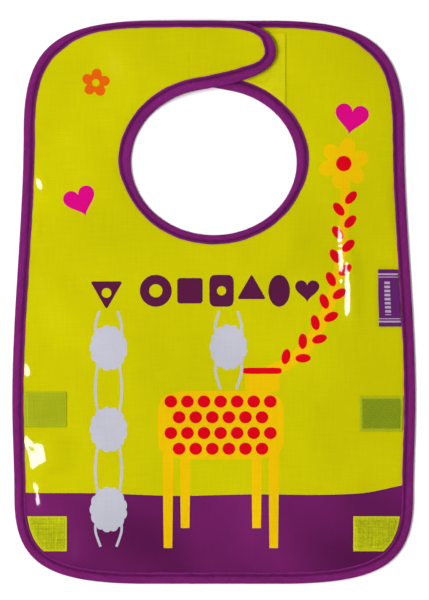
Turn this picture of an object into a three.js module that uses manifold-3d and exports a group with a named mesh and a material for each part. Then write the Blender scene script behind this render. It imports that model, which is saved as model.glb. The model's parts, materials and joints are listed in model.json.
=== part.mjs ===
// A baby's pocket bib of laminated cotton, lying flat with its printed face up.
//
// The bib is a C-shaped panel with a backing, bound all round by one folded tape. Its two neck
// straps overlap and close with hook-and-loop. Four hook-and-loop pads on the front let the
// bottom edge fold up into a crumb pocket. The cloth is cut here at its two bend lines, so that
// the strap and the pocket can swing, and a small woven label swings on its sewn edge.
//
// Millimetres, +Z up, +Y towards the neck. The origin is the middle of the box on the table.

import * as THREE from "three";
import { mergeVertices } from "three/addons/utils/BufferGeometryUtils.js";
import Module from "manifold-3d";

const wasm = await Module();
wasm.setup();

// ---- Outline of the bib ----
const LENGTH = 394;
const WIDTH = 282; // at its widest, below the middle
const SHOULDER_WIDTH = 266; // across the top corners
const HEM_WIDTH = 279; // where the bottom corners start
const WIDEST_HEIGHT = 128; // of the widest place above the bottom edge
const TOP_CORNER = 76; // how far down the side its curve runs
const TOP_CORNER_REACH = 92; // and how far along the top edge
const BOTTOM_CORNER = 60;
const BOTTOM_CORNER_REACH = 92;
const CORNER_FULLNESS = 0.76; // 0.55 is a true arc, and more is squarer

// ---- Neck opening and straps ----
const NECK_WIDTH = 116;
const NECK_HEIGHT = 102;
const STRAP_WIDTH = 48; // from the top edge to the neck opening, on the centre line
const STRAP_REACH = 43.5; // of each strap past the centre line
const TIP_DROP = 22; // from the top edge to the foremost point of a strap's tip
const TIP_FULLNESS = 16; // how far the tip's end stays upright, above and below that point
const TOP_STRAIGHT = 0.6; // share of the strap's reach along which its top edge stays level
const STRAP_SWEEP = 30; // how far the strap's lower edge keeps the neck's own direction
const STRAP_JOIN = 0.2; // where that edge leaves the neck, in radians past the centre line

// ---- Layers of cloth, from the table up ----
const TAPE = 0.6; // one folded wall of the binding tape
const BACKING = 0.4;
const PANEL = 0.5;
const LAYER_GAP = 0.1;
const BINDING_WIDTH = 8;
const BINDING_EDGE = 0.8; // of tape outside the cut edge of the cloth
const THREAD = 0.25; // height of the topstitching above the tape
const THREAD_WIDTH = 0.6;
const THREAD_INSET = 2; // from the binding's inner edge to the topstitching

// ---- Hook-and-loop ----
const HOOK = 1.4;
const LOOP = 1.4;
const PAD_TAPE = 24.5; // width of the tape that the pocket's pads are cut from
// Each pad's height is from the bottom edge to its middle, and its reach is from the binding.
const LEFT_HOOK_PAD = { height: 122, reach: 30 };
const RIGHT_HOOK_PAD = { height: 119, reach: 31 };
const LEFT_LOOP_PAD = { height: 35, reach: 28 };
const RIGHT_LOOP_PAD = { height: 35, reach: 33 };
const CLOSURE_TAPE = 50; // width of the strap's loop patch
const CLOSURE_SHOWN = 7; // of the loop patch past the closed strap's tip
const CLOSURE_HOOK = 28; // width of the strap's hook patch
const CLOSURE_HOOK_INSET = 9; // from the strap's bend to its hook patch

// ---- Woven label ----
const LABEL_WIDTH = 14;
const LABEL_HEIGHT = 40;
const LABEL_RISE = 200; // from the bottom edge to the label's middle
const LABEL = 0.5;

// ---- Bend lines and clearances ----
const STRAP_BEND = 10; // from the centre line to the strap's bend
const BEND_GAP = 0.6; // between the two sides of a bend
const PIECE_GAP = 0.3;
const RAMP_GAP = 1.2; // between the lower strap's tip and the upper strap's ramp over it
const RAMP_STEPS = 6;
const STEPS = 14; // straight pieces in each curve of the outline

const TALL = 40; // more than any height here, for cutting solids
const top = LENGTH / 2;
const bottom = -LENGTH / 2;
const neckY = top - STRAP_WIDTH - NECK_HEIGHT / 2;

// Heights of the stacked layers.
const backingLow = TAPE + LAYER_GAP;
const backingHigh = backingLow + BACKING;
const panelLow = backingHigh + LAYER_GAP;
const panelHigh = panelLow + PANEL;
const slotHigh = panelHigh + LAYER_GAP;
const bindingHigh = slotHigh + TAPE;
const onPanel = panelHigh + LAYER_GAP;

// The upper strap lies on the lower one, with the closed hook and loop between them.
const loopHigh = onPanel + LOOP;
const hookLow = loopHigh + LAYER_GAP;
const strapRise = hookLow + HOOK + LAYER_GAP - backingLow;
const overTip = bindingHigh + THREAD + 2 * LAYER_GAP;

// The fold lies midway between the pads that it brings together.
const hookPadHeight = (LEFT_HOOK_PAD.height + RIGHT_HOOK_PAD.height) / 2;
const loopPadHeight = (LEFT_LOOP_PAD.height + RIGHT_LOOP_PAD.height) / 2;
const foldY = bottom + (hookPadHeight + loopPadHeight) / 2;
const strapBendX = -STRAP_BEND;
const rampStart = -NECK_WIDTH / 2 + RAMP_GAP;
const rampEnd = -STRAP_REACH - RAMP_GAP;

const colours = {
  lime: "#d4cc0d",
  plum: "#6a1e5a",
  tape: "#7b2b6c",
  cotton: "#e9e6da",
  hook: "#94a117",
  loop: "#aab01c",
  label: "#621d64",
  thread: "#5d1f52",
};

function cloth(colour, roughness) {
  return new THREE.MeshStandardMaterial({ color: colours[colour], roughness, metalness: 0 });
}

// A geometry as a manifold-3d solid.
function solid(geometry) {
  const bare = geometry.clone();
  bare.deleteAttribute("uv");
  bare.deleteAttribute("normal");
  const merged = mergeVertices(bare, 1e-4);
  return new wasm.Manifold(
    new wasm.Mesh({
      numProp: 3,
      vertProperties: merged.attributes.position.array,
      triVerts: new Uint32Array(merged.index.array),
    }),
  );
}

// A manifold-3d solid as a geometry.
function geometryOf(made) {
  const { numProp, vertProperties, triVerts } = made.getMesh();
  const places = new Float32Array((vertProperties.length / numProp) * 3);
  for (let i = 0; i * numProp < vertProperties.length; i++)
    places.set(vertProperties.subarray(i * numProp, i * numProp + 3), i * 3);
  const geometry = new THREE.BufferGeometry();
  geometry.setAttribute("position", new THREE.BufferAttribute(places, 3));
  geometry.setIndex(new THREE.BufferAttribute(triVerts, 1));
  geometry.computeVertexNormals();
  return geometry;
}

// A flat outline raised from one height to another.
function prism(points, low, high) {
  const geometry = new THREE.ExtrudeGeometry(new THREE.Shape(points), {
    depth: high - low,
    bevelEnabled: false,
  });
  return solid(geometry.translate(0, 0, low));
}

function box(x0, x1, y0, y1, low = -TALL, high = TALL) {
  const geometry = new THREE.BoxGeometry(x1 - x0, y1 - y0, high - low);
  return solid(geometry.translate((x0 + x1) / 2, (y0 + y1) / 2, (low + high) / 2));
}

const mirrored = (points) => points.map((p) => new THREE.Vector2(-p.x, p.y)).reverse();

// ---- The right half's edge, from the bottom's middle round the strap to the neck's middle ----
function edgePoints() {
  const edge = new THREE.Path();
  const side = WIDTH / 2;
  const hem = HEM_WIDTH / 2;
  const shoulder = SHOULDER_WIDTH / 2;
  const widest = bottom + WIDEST_HEIGHT;
  const softer = 1 - CORNER_FULLNESS;
  edge.moveTo(0, bottom);
  edge.lineTo(hem - BOTTOM_CORNER_REACH, bottom);
  edge.bezierCurveTo(
    hem - BOTTOM_CORNER_REACH * softer, bottom,
    hem, bottom + BOTTOM_CORNER * softer,
    hem, bottom + BOTTOM_CORNER,
  );
  const lower = (widest - bottom - BOTTOM_CORNER) / 3;
  edge.bezierCurveTo(
    hem, bottom + BOTTOM_CORNER + lower,
    side, widest - lower,
    side, widest,
  );
  const upper = (top - TOP_CORNER - widest) / 3;
  edge.bezierCurveTo(
    side, widest + upper,
    shoulder, top - TOP_CORNER - upper,
    shoulder, top - TOP_CORNER,
  );
  edge.bezierCurveTo(
    shoulder, top - TOP_CORNER * softer,
    shoulder - TOP_CORNER_REACH * softer, top,
    shoulder - TOP_CORNER_REACH, top,
  );
  edge.lineTo(0, top);
  const tipY = top - TIP_DROP;
  const topRun = -STRAP_REACH * TOP_STRAIGHT;
  edge.bezierCurveTo(topRun, top, -STRAP_REACH, tipY + TIP_FULLNESS, -STRAP_REACH, tipY);
  // The strap's lower edge runs into the neck opening's ellipse a little past the centre line.
  const across = NECK_WIDTH / 2;
  const up = NECK_HEIGHT / 2;
  const onNeck = (angle) =>
    new THREE.Vector2(across * Math.sin(angle), neckY + up * Math.cos(angle));
  const join = onNeck(STRAP_JOIN);
  const run = new THREE.Vector2(-across * Math.cos(STRAP_JOIN), up * Math.sin(STRAP_JOIN));
  const sweep = run.setLength(STRAP_SWEEP).add(join);
  edge.bezierCurveTo(-STRAP_REACH, tipY - TIP_FULLNESS, sweep.x, sweep.y, join.x, join.y);
  const points = edge.getPoints(STEPS);
  const neckSteps = 3 * STEPS;
  for (let i = 1; i < neckSteps; i++)
    points.push(onNeck(THREE.MathUtils.lerp(STRAP_JOIN, Math.PI, i / neckSteps)));
  points.push(new THREE.Vector2(0, neckY - up));
  return points.filter((p, i) => i === 0 || p.distanceTo(points[i - 1]) > 1e-3);
}

const edge = edgePoints();

// The edge moved into the cloth by a distance.
function inset(distance) {
  return edge.map((p, i) => {
    const before = edge[i - 1] ?? new THREE.Vector2(-edge[1].x, edge[1].y);
    const after = edge[i + 1] ?? new THREE.Vector2(-edge[i - 1].x, edge[i - 1].y);
    const a = p.clone().sub(before).normalize();
    const b = after.clone().sub(p).normalize();
    const along = a.clone().add(b).normalize();
    const stretch = distance / along.dot(a);
    return new THREE.Vector2(p.x - along.y * stretch, p.y + along.x * stretch);
  });
}

const band = (from, to) => [...inset(from), ...inset(to).reverse()];

// Where the binding's inner edge is on the right side, at a height between the corners.
function bindingAt(y) {
  const line = inset(BINDING_WIDTH);
  const i = line.findIndex((p, k) => k > 0 && line[k - 1].y <= y && p.y > y);
  return THREE.MathUtils.mapLinear(y, line[i - 1].y, line[i].y, line[i - 1].x, line[i].x);
}

// How far the upper strap is lifted at each place from its shoulder to its bend.
function riseProfile() {
  const places = [[rampStart - 1, 0]];
  for (let i = 0; i <= RAMP_STEPS; i++) {
    const x = THREE.MathUtils.lerp(rampStart, rampEnd, i / RAMP_STEPS);
    places.push([x, overTip * THREE.MathUtils.smoothstep(x, rampStart, rampEnd)]);
  }
  places.push([THREE.MathUtils.lerp(rampEnd, strapBendX, 0.5), (overTip + strapRise) / 2]);
  places.push([strapBendX - 1, strapRise], [strapBendX, strapRise]);
  return places;
}

// The lifted layer between two heights, as long as the bib in Y.
function risingLayer(low, high) {
  const profile = riseProfile();
  const under = profile.map(([x, z]) => new THREE.Vector2(x, z + low));
  const over = profile.map(([x, z]) => new THREE.Vector2(x, z + high)).reverse();
  const geometry = new THREE.ExtrudeGeometry(new THREE.Shape([...under, ...over]), {
    depth: LENGTH,
    bevelEnabled: false,
  });
  return solid(geometry.rotateX(Math.PI / 2).translate(0, LENGTH / 2, 0));
}

// One layer of cloth, from the outline of its right half, cut at the two bends.
function layer(outline, low, high) {
  const strapSide = mirrored(outline);
  const right = prism(outline, low, high);
  const left = prism(strapSide, low, high).subtract(
    box(rampStart, STRAP_REACH + TALL, neckY, top + TALL),
  );
  const lifted = box(rampStart - 1, strapBendX - BEND_GAP / 2, neckY, top + TALL);
  const root = prism(strapSide, -TALL, TALL).intersect(risingLayer(low, high)).intersect(lifted);
  const strap = prism(strapSide, low + strapRise, high + strapRise).intersect(
    box(strapBendX + BEND_GAP / 2, STRAP_REACH + TALL, neckY, top + TALL),
  );
  const flat = right.add(left);
  const above = box(-WIDTH, WIDTH, foldY + BEND_GAP / 2, LENGTH);
  const below = box(-WIDTH, WIDTH, -LENGTH, foldY - BEND_GAP / 2);
  return { body: flat.add(root).intersect(above), pocket: flat.intersect(below), strap };
}

// A solid's separate bodies, from left to right.
function fromLeft(made) {
  const middle = (s) => s.boundingBox().min[0] + s.boundingBox().max[0];
  return made.decompose().sort((a, b) => middle(a) - middle(b));
}

const bib = new THREE.Group();

function add(name, made, material) {
  const mesh = new THREE.Mesh(geometryOf(made), material);
  mesh.name = name;
  bib.add(mesh);
}

// ---- Panel and backing ----
function addCloth() {
  const cut = [...inset(BINDING_EDGE)];
  const panel = layer(cut, panelLow, panelHigh);
  add("front_panel", panel.body, cloth("lime", 0.25));
  add("front_panel_pocket", panel.pocket, cloth("plum", 0.25));
  add("front_panel_strap", panel.strap, cloth("lime", 0.25));
  const backing = layer(cut, backingLow, backingHigh);
  add("backing", backing.body, cloth("cotton", 0.9));
  add("backing_pocket", backing.pocket, cloth("cotton", 0.9));
  add("backing_strap", backing.strap, cloth("cotton", 0.9));
}

// ---- Binding tape: a folded channel round the cut edge ----
function addBinding() {
  const whole = layer(band(0, BINDING_WIDTH), 0, bindingHigh);
  const channel = layer(band(BINDING_EDGE - LAYER_GAP, BINDING_WIDTH + 1), TAPE, slotHigh);
  const tipY = top - TIP_DROP;
  const tapeEnds = box(
    -STRAP_REACH - 1, -STRAP_REACH + BINDING_WIDTH + 1,
    tipY - PIECE_GAP / 2, tipY + PIECE_GAP / 2,
    -TALL, (bindingHigh + overTip) / 2,
  );
  const [left, neck, right] = fromLeft(whole.body.subtract(channel.body).subtract(tapeEnds));
  add("edge_binding_left", left, cloth("tape", 0.85));
  add("neck_binding", neck, cloth("tape", 0.85));
  add("edge_binding_right", right, cloth("tape", 0.85));
  add("edge_binding_pocket", whole.pocket.subtract(channel.pocket), cloth("tape", 0.85));
  add("edge_binding_strap", whole.strap.subtract(channel.strap), cloth("tape", 0.85));
}

// ---- Topstitching: one line of thread along the binding ----
function addTopstitching() {
  const line = BINDING_WIDTH - THREAD_INSET;
  const low = bindingHigh + LAYER_GAP;
  const thread = layer(
    band(line - THREAD_WIDTH / 2, line + THREAD_WIDTH / 2), low, low + THREAD,
  );
  const [left, right] = fromLeft(thread.body);
  add("topstitch_left", left, cloth("thread", 0.8));
  add("topstitch_neck_and_right", right, cloth("thread", 0.8));
  add("topstitch_pocket", thread.pocket, cloth("thread", 0.8));
  add("topstitch_strap", thread.strap, cloth("thread", 0.8));
}

// ---- The pocket's pads: hooks above the fold and loops below it ----
function addPads() {
  const clear = inset(BINDING_WIDTH + PIECE_GAP);
  const pads = [
    ["pocket_hook_pad_left", LEFT_HOOK_PAD, HOOK, "hook"],
    ["pocket_hook_pad_right", RIGHT_HOOK_PAD, HOOK, "hook"],
    ["pocket_loop_pad_left", LEFT_LOOP_PAD, LOOP, "loop"],
    ["pocket_loop_pad_right", RIGHT_LOOP_PAD, LOOP, "loop"],
  ];
  for (const [name, { height, reach }, thickness, colour] of pads) {
    const low = bottom + height - PAD_TAPE / 2;
    const high = bottom + height + PAD_TAPE / 2;
    const end = bindingAt(high) - reach;
    const pad = prism(clear, onPanel, onPanel + thickness).intersect(box(end, WIDTH, low, high));
    add(name, name.endsWith("left") ? pad.mirror([1, 0, 0]) : pad, cloth(colour, 0.9));
  }
}

// ---- The strap's closure: a loop patch below and a hook patch above ----
function addClosure() {
  const clear = inset(BINDING_WIDTH + PIECE_GAP);
  const loopEnd = STRAP_REACH + CLOSURE_SHOWN;
  const loop = prism(clear, onPanel, loopHigh).intersect(
    box(loopEnd - CLOSURE_TAPE, loopEnd, neckY, top),
  );
  add("closure_loop_patch", loop, cloth("lime", 0.9));
  const hookStart = strapBendX + CLOSURE_HOOK_INSET;
  const hook = prism(mirrored(clear), hookLow, hookLow + HOOK).intersect(
    box(hookStart, hookStart + CLOSURE_HOOK, neckY, top),
  );
  add("closure_hook_patch", hook, cloth("hook", 0.9));
}

// ---- Woven label, sewn along its right edge into the binding ----
const labelY = bottom + LABEL_RISE;

function addLabel() {
  const low = labelY - LABEL_HEIGHT / 2;
  const high = labelY + LABEL_HEIGHT / 2;
  const sewnEdge = Math.min(bindingAt(low), bindingAt(high)) - PIECE_GAP;
  const label = box(sewnEdge - LABEL_WIDTH, sewnEdge, low, high, onPanel, onPanel + LABEL);
  add("side_label", label, cloth("label", 0.5));
}

addCloth();
addBinding();
addTopstitching();
addPads();
addClosure();
addLabel();

export default bib;
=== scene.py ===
"""A baby's pocket bib of laminated cotton, lying flat with its neck straps closed.

The printed cotton and its cotton backing are cut from one outline and bound with a folded tape.
A cloth simulation gives the cloth its slight waviness. Hook-and-loop pads near the corners hold
the hem when it folds up into a pocket, and two patches close the neck straps.

Sizes are in metres. The bib lies in X and Y, with its hem towards -Y and its print facing +Z.
"""

import json
import logging
import math
import random
from dataclasses import dataclass, field, replace
from enum import Enum
from typing import Callable, Sequence

import bmesh
import bpy
import numpy as np
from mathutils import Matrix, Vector
from mathutils.geometry import delaunay_2d_cdt


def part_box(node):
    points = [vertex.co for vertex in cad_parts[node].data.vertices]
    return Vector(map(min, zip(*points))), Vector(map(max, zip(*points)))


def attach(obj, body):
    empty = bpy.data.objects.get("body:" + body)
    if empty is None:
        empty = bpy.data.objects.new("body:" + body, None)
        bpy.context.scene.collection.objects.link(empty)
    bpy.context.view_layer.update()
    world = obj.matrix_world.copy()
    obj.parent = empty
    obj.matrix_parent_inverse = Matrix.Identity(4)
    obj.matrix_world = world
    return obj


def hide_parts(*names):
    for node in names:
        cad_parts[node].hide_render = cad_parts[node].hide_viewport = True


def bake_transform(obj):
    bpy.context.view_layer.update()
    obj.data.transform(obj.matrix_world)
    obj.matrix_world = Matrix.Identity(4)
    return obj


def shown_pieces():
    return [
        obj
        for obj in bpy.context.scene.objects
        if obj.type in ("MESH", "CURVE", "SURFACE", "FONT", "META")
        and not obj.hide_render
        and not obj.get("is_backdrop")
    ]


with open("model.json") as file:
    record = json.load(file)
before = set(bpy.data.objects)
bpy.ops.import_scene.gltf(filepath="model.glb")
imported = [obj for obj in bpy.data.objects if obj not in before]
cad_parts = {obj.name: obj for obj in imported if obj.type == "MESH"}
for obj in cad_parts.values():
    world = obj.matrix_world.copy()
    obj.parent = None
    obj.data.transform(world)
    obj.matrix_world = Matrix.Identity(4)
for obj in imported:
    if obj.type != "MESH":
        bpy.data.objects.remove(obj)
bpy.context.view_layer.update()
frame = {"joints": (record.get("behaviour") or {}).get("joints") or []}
MM = 0.001
log = logging.getLogger("bib")

Points = np.ndarray
Template = tuple[np.ndarray, list[list[int]]]


# ---- Small tools ----


def smoothstep(t: np.ndarray) -> np.ndarray:
    """A smooth rise from 0 at 0 to 1 at 1, flat outside."""
    t = np.clip(t, 0.0, 1.0)
    return t * t * (3 - 2 * t)


def bezier(a: Sequence[float], b: Sequence[float], c: Sequence[float], d: Sequence[float],
           count: int = 48) -> Points:
    """Points along a cubic curve, without its first one.

    Args:
        a: Start.
        b: First handle.
        c: Second handle.
        d: End.
        count: Number of points.

    Returns:
        The points, one per row.
    """
    t = np.linspace(0, 1, count + 1)[1:, None]
    a, b, c, d = (np.array(p, float) for p in (a, b, c, d))
    return a * (1 - t) ** 3 + 3 * b * t * (1 - t) ** 2 + 3 * c * t * t * (1 - t) + d * t ** 3


def even(path: Points, step: float) -> Points:
    """A polyline with its points spaced evenly.

    Args:
        path: The polyline, one point per row.
        step: The spacing wanted.

    Returns:
        The new points, with the same two ends.
    """
    along = np.concatenate([[0], np.cumsum(np.linalg.norm(np.diff(path, axis=0), axis=1))])
    count = max(2, int(round(along[-1] / step)) + 1)
    places = np.linspace(0, along[-1], count)
    return np.stack([np.interp(places, along, path[:, k]) for k in range(path.shape[1])], axis=1)


def directions(path: Points) -> Points:
    """The unit direction of a polyline at each of its points."""
    run = np.gradient(path, axis=0)
    return run / np.linalg.norm(run, axis=1)[:, None]


def offset(path: Points, distance: float) -> Points:
    """A plan polyline moved to its left by a distance."""
    run = directions(path)
    return path + distance * left_of(run)


def mirrored(path: Points) -> Points:
    """A plan polyline mirrored across the bib's middle, walked the other way."""
    return (path * np.array([-1.0, 1.0]))[::-1]


def distance_to(points: Points, path: Points, closed: bool = False) -> np.ndarray:
    """How far each point is from a polyline.

    Args:
        points: Plan points, one per row.
        path: The polyline.
        closed: Whether the last point joins the first.

    Returns:
        One distance per point.
    """
    ends = np.roll(path, -1, axis=0) if closed else path[1:]
    starts = path if closed else path[:-1]
    run = ends - starts
    length2 = np.maximum((run ** 2).sum(1), 1e-18)
    best = np.full(len(points), 1e9)
    for block in range(0, len(points), 2000):
        p = points[block:block + 2000, None, :]
        t = np.clip(((p - starts) * run).sum(2) / length2, 0, 1)
        gap = np.linalg.norm(p - (starts + t[..., None] * run), axis=2)
        best[block:block + 2000] = gap.min(1)
    return best


def inside(points: Points, polygon: Points) -> np.ndarray:
    """Tells which plan points lie inside a closed polygon.

    Args:
        points: Plan points, one per row.
        polygon: The polygon's corners.

    Returns:
        One truth value per point.
    """
    x, y = points[:, 0], points[:, 1]
    result = np.zeros(len(points), bool)
    x0, y0 = polygon[-1]
    for x1, y1 in polygon:
        crosses = (y0 > y) != (y1 > y)
        if y1 != y0:
            result ^= crosses & (x < (x1 - x0) * (y - y0) / (y1 - y0) + x0)
        x0, y0 = x1, y1
    return result


def left_of(run: Points) -> Points:
    """Each plan direction turned a quarter turn to its left."""
    return np.stack([-run[:, 1], run[:, 0]], axis=1)


def lattice(xs: np.ndarray, ys: np.ndarray) -> Points:
    """Every plan point of a grid, with Y changing fastest."""
    gx, gy = np.meshgrid(xs, ys, indexing="ij")
    return np.stack([gx.ravel(), gy.ravel()], axis=1)


def twice_area(polygon: Points) -> float:
    """Twice the area of a closed polygon, below zero if its points go clockwise."""
    x, y = polygon[:, 0], polygon[:, 1]
    return float(x @ np.roll(y, -1) - y @ np.roll(x, -1))


def deselect() -> None:
    """Leaves nothing selected, in object mode."""
    if bpy.context.object and bpy.context.object.mode != "OBJECT":
        bpy.ops.object.mode_set(mode="OBJECT")
    bpy.ops.object.select_all(action="DESELECT")


def activate(piece: bpy.types.Object) -> None:
    """Makes one object the only selected and active one."""
    deselect()
    piece.select_set(True)
    bpy.context.view_layer.objects.active = piece


def new_piece(name: str, verts: Points, faces: Sequence, smooth: bool = True) -> bpy.types.Object:
    """A mesh object at the origin.

    Args:
        name: The object's name.
        verts: Vertex places, one per row.
        faces: Vertex numbers of each face.
        smooth: Whether it is shaded smooth.

    Returns:
        The object, linked into the scene.
    """
    mesh = bpy.data.meshes.new(name)
    mesh.from_pydata([tuple(v) for v in verts], [], [tuple(int(i) for i in f) for f in faces])
    mesh.update()
    mesh.polygons.foreach_set("use_smooth", [smooth] * len(mesh.polygons))
    piece = bpy.data.objects.new(name, mesh)
    bpy.context.scene.collection.objects.link(piece)
    return piece


def template_of(piece: bpy.types.Object) -> Template:
    """Takes the vertices and faces of a shape modelled in millimetres, and removes the object.

    Args:
        piece: The modelled object, which is used up.

    Returns:
        Its vertex places in metres, and its faces.
    """
    facing_out(piece)
    verts = np.array([v.co for v in piece.data.vertices], float) * MM
    faces = [list(p.vertices) for p in piece.data.polygons]
    bpy.data.objects.remove(piece, do_unlink=True)
    return verts, faces


def repeat(template: Template, places: Points, axes: Points, name: str) -> bpy.types.Object:
    """Copies of a small modelled shape, as one mesh.

    Args:
        template: Vertices and faces of the shape.
        places: Where each copy's origin goes.
        axes: For each copy, its X, Y and Z axes as the rows of a 3 by 3 array.
        name: The new object's name.

    Returns:
        The object.
    """
    verts, faces = template
    moved = places[:, None, :] + np.einsum("vk,nkj->nvj", verts, axes)
    shifted = np.arange(len(places))[:, None, None] * len(verts)
    sizes = {len(f) for f in faces}
    every: list = []
    for size in sorted(sizes):
        group = np.array([f for f in faces if len(f) == size])
        every.extend((group[None] + shifted).reshape(-1, size).tolist())
    moved = moved.reshape(-1, 3)
    piece = new_piece(name, moved, every)
    plan_uv(piece, moved[:, :2] + 0.7 * moved[:, 2:])
    return piece


def facing_out(piece: bpy.types.Object) -> None:
    """Turns all of a closed mesh's faces outwards."""
    mesh = bmesh.new()
    mesh.from_mesh(piece.data)
    bmesh.ops.recalc_face_normals(mesh, faces=mesh.faces)
    mesh.to_mesh(piece.data)
    mesh.free()


def thicken(piece: bpy.types.Object, thickness: float) -> None:
    """Gives a sheet its thickness, downwards from the surface that is modelled."""
    wall = piece.modifiers.new("Thickness", "SOLIDIFY")
    wall.thickness = thickness
    wall.offset = -1


def plan_uv(piece: bpy.types.Object, flat: Points) -> None:
    """Gives a mesh a UV map that holds each vertex's place in metres on the flat cloth.

    Args:
        piece: The object.
        flat: One plan place per vertex.
    """
    layer = piece.data.uv_layers.new(name="Flat")
    corners = np.zeros(len(piece.data.loops), int)
    piece.data.loops.foreach_get("vertex_index", corners)
    layer.data.foreach_set("uv", flat[corners].astype(np.float32).ravel())


# ---- Finishes ----


class Ink(Enum):
    """The colours that the cloth is printed with, as linear red, green and blue."""

    LIME = (0.520, 0.486, 0.0004)
    PLUM = (0.125, 0.010, 0.092)
    DARK = (0.088, 0.009, 0.046)
    WHITE = (0.47, 0.465, 0.54)
    GOLD = (0.74, 0.46, 0.0008)
    RED = (0.62, 0.001, 0.008)
    PINK = (0.60, 0.002, 0.19)
    ORANGE = (0.66, 0.10, 0.003)


class Nodes:
    """Adds and joins nodes in one tree."""

    def __init__(self, tree: bpy.types.NodeTree) -> None:
        """Keeps the tree."""
        self.tree = tree

    def add(self, kind: str, settings: dict | None = None, **sockets: object) -> bpy.types.Node:
        """Adds one node.

        Args:
            kind: The node's type, without its ShaderNode prefix.
            settings: Values of its properties.
            **sockets: Each input by its name, with spaces as underscores, given a value or the
                output that it comes from.

        Returns:
            The node.
        """
        node = self.tree.nodes.new("ShaderNode" + kind)
        for key, value in (settings or {}).items():
            setattr(node, key, value)
        for key, value in sockets.items():
            name = key.replace("_", " ")
            socket = node.inputs[int(key[1:])] if key[0] == "i" and key[1:].isdigit() else (
                node.inputs[name])
            self.feed(socket, value)
        return node

    def feed(self, socket: bpy.types.NodeSocket, value: object) -> None:
        """Sets an input, or joins an output to it."""
        if isinstance(value, bpy.types.NodeSocket):
            self.tree.links.new(value, socket)
        else:
            socket.default_value = value

    def math(self, operation: str, a: object, b: object = 0.0) -> bpy.types.NodeSocket:
        """The output of one Math node."""
        return self.add("Math", {"operation": operation}, i0=a, i1=b).outputs[0]

    def wave(self, value: object) -> bpy.types.NodeSocket:
        """The size of a sine with one hump for each whole number of its input."""
        return self.math("ABSOLUTE", self.math("SINE", self.math("MULTIPLY", value, math.pi)))


def effect(name: str, inputs: Sequence[tuple[str, str, object]],
           outputs: Sequence[str]) -> tuple[bpy.types.NodeTree, Nodes, bpy.types.Node,
                                            bpy.types.Node]:
    """Starts a shared shader node group.

    Args:
        name: The group's name.
        inputs: Name, socket type and first value of each input.
        outputs: Name of each output, all plain values.

    Returns:
        The group, its node tool, its input node and its output node.
    """
    group = bpy.data.node_groups.new(name, "ShaderNodeTree")
    for label, kind, value in inputs:
        socket = group.interface.new_socket(label, in_out="INPUT", socket_type=kind)
        if value is not None:
            socket.default_value = value
    for label in outputs:
        group.interface.new_socket(label, in_out="OUTPUT", socket_type="NodeSocketFloat")
    start = group.nodes.new("NodeGroupInput")
    end = group.nodes.new("NodeGroupOutput")
    return group, Nodes(group), start, end


def weave_effect() -> bpy.types.NodeTree:
    """A plain weave: threads over and under each other, with slubs that vary their thickness.

    Returns:
        The node group, with the weave's height and a tint near 1 that slubs vary, and that painted shade
        lowers between threads and raises on their crowns.
    """
    group, make, start, end = effect(
        "Plain weave",
        [("Flat", "NodeSocketVector", None), ("Threads", "NodeSocketFloat", 2200.0),
         ("Slub", "NodeSocketFloat", 0.08)],
        ["Height", "Tint"],
    )
    scaled = make.add("VectorMath", {"operation": "SCALE"}, i0=start.outputs["Flat"])
    make.feed(scaled.inputs["Scale"], start.outputs["Threads"])
    axes = make.add("SeparateXYZ", i0=scaled.outputs[0])
    across, along = axes.outputs["X"], axes.outputs["Y"]
    warp, weft = make.wave(across), make.wave(along)
    parity = make.math("ADD", make.math("FLOOR", across), make.math("FLOOR", along))
    over = make.math("ABSOLUTE", make.math("MODULO", parity, 2.0))
    height = make.add("Mix", {"data_type": "FLOAT"}, Factor=over, i2=warp, i3=weft).outputs[0]
    streaks = []
    for stretch in ((900.0, 45.0, 1.0), (45.0, 900.0, 1.0)):
        placed = make.add("Mapping", Vector=start.outputs["Flat"], Scale=stretch)
        noise = make.add("TexNoise", Vector=placed.outputs[0], Scale=1.0, Detail=3.0)
        streaks.append(make.math("SUBTRACT", noise.outputs["Fac"], 0.5))
    slub = make.math("MULTIPLY", make.math("ADD", *streaks), start.outputs["Slub"])
    # Painted shade: darker where the weave is low between threads, lighter on their crowns.
    gaps = make.math("MULTIPLY", make.math("SUBTRACT", height, 0.65), 0.12)
    tint = make.math("ADD", make.math("ADD", slub, gaps), 1.0)
    make.feed(end.inputs["Height"], height)
    make.feed(end.inputs["Tint"], tint)
    return group


def mottle_effect() -> bpy.types.NodeTree:
    """Slow unevenness of dye, film or handling over a surface.

    Returns:
        The node group, with a value near 1 and a height between 0 and 1.
    """
    group, make, start, end = effect(
        "Mottle",
        [("Place", "NodeSocketVector", None), ("Size", "NodeSocketFloat", 40.0),
         ("Strength", "NodeSocketFloat", 0.1)],
        ["Tint", "Height"],
    )
    noise = make.add("TexNoise", Vector=start.outputs["Place"], Scale=start.outputs["Size"],
                     Detail=4.0, Roughness=0.55)
    spread = make.math("MULTIPLY", make.math("SUBTRACT", noise.outputs["Fac"], 0.5),
                       start.outputs["Strength"])
    make.feed(end.inputs["Tint"], make.math("ADD", spread, 1.0))
    make.feed(end.inputs["Height"], noise.outputs["Fac"])
    return group


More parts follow.
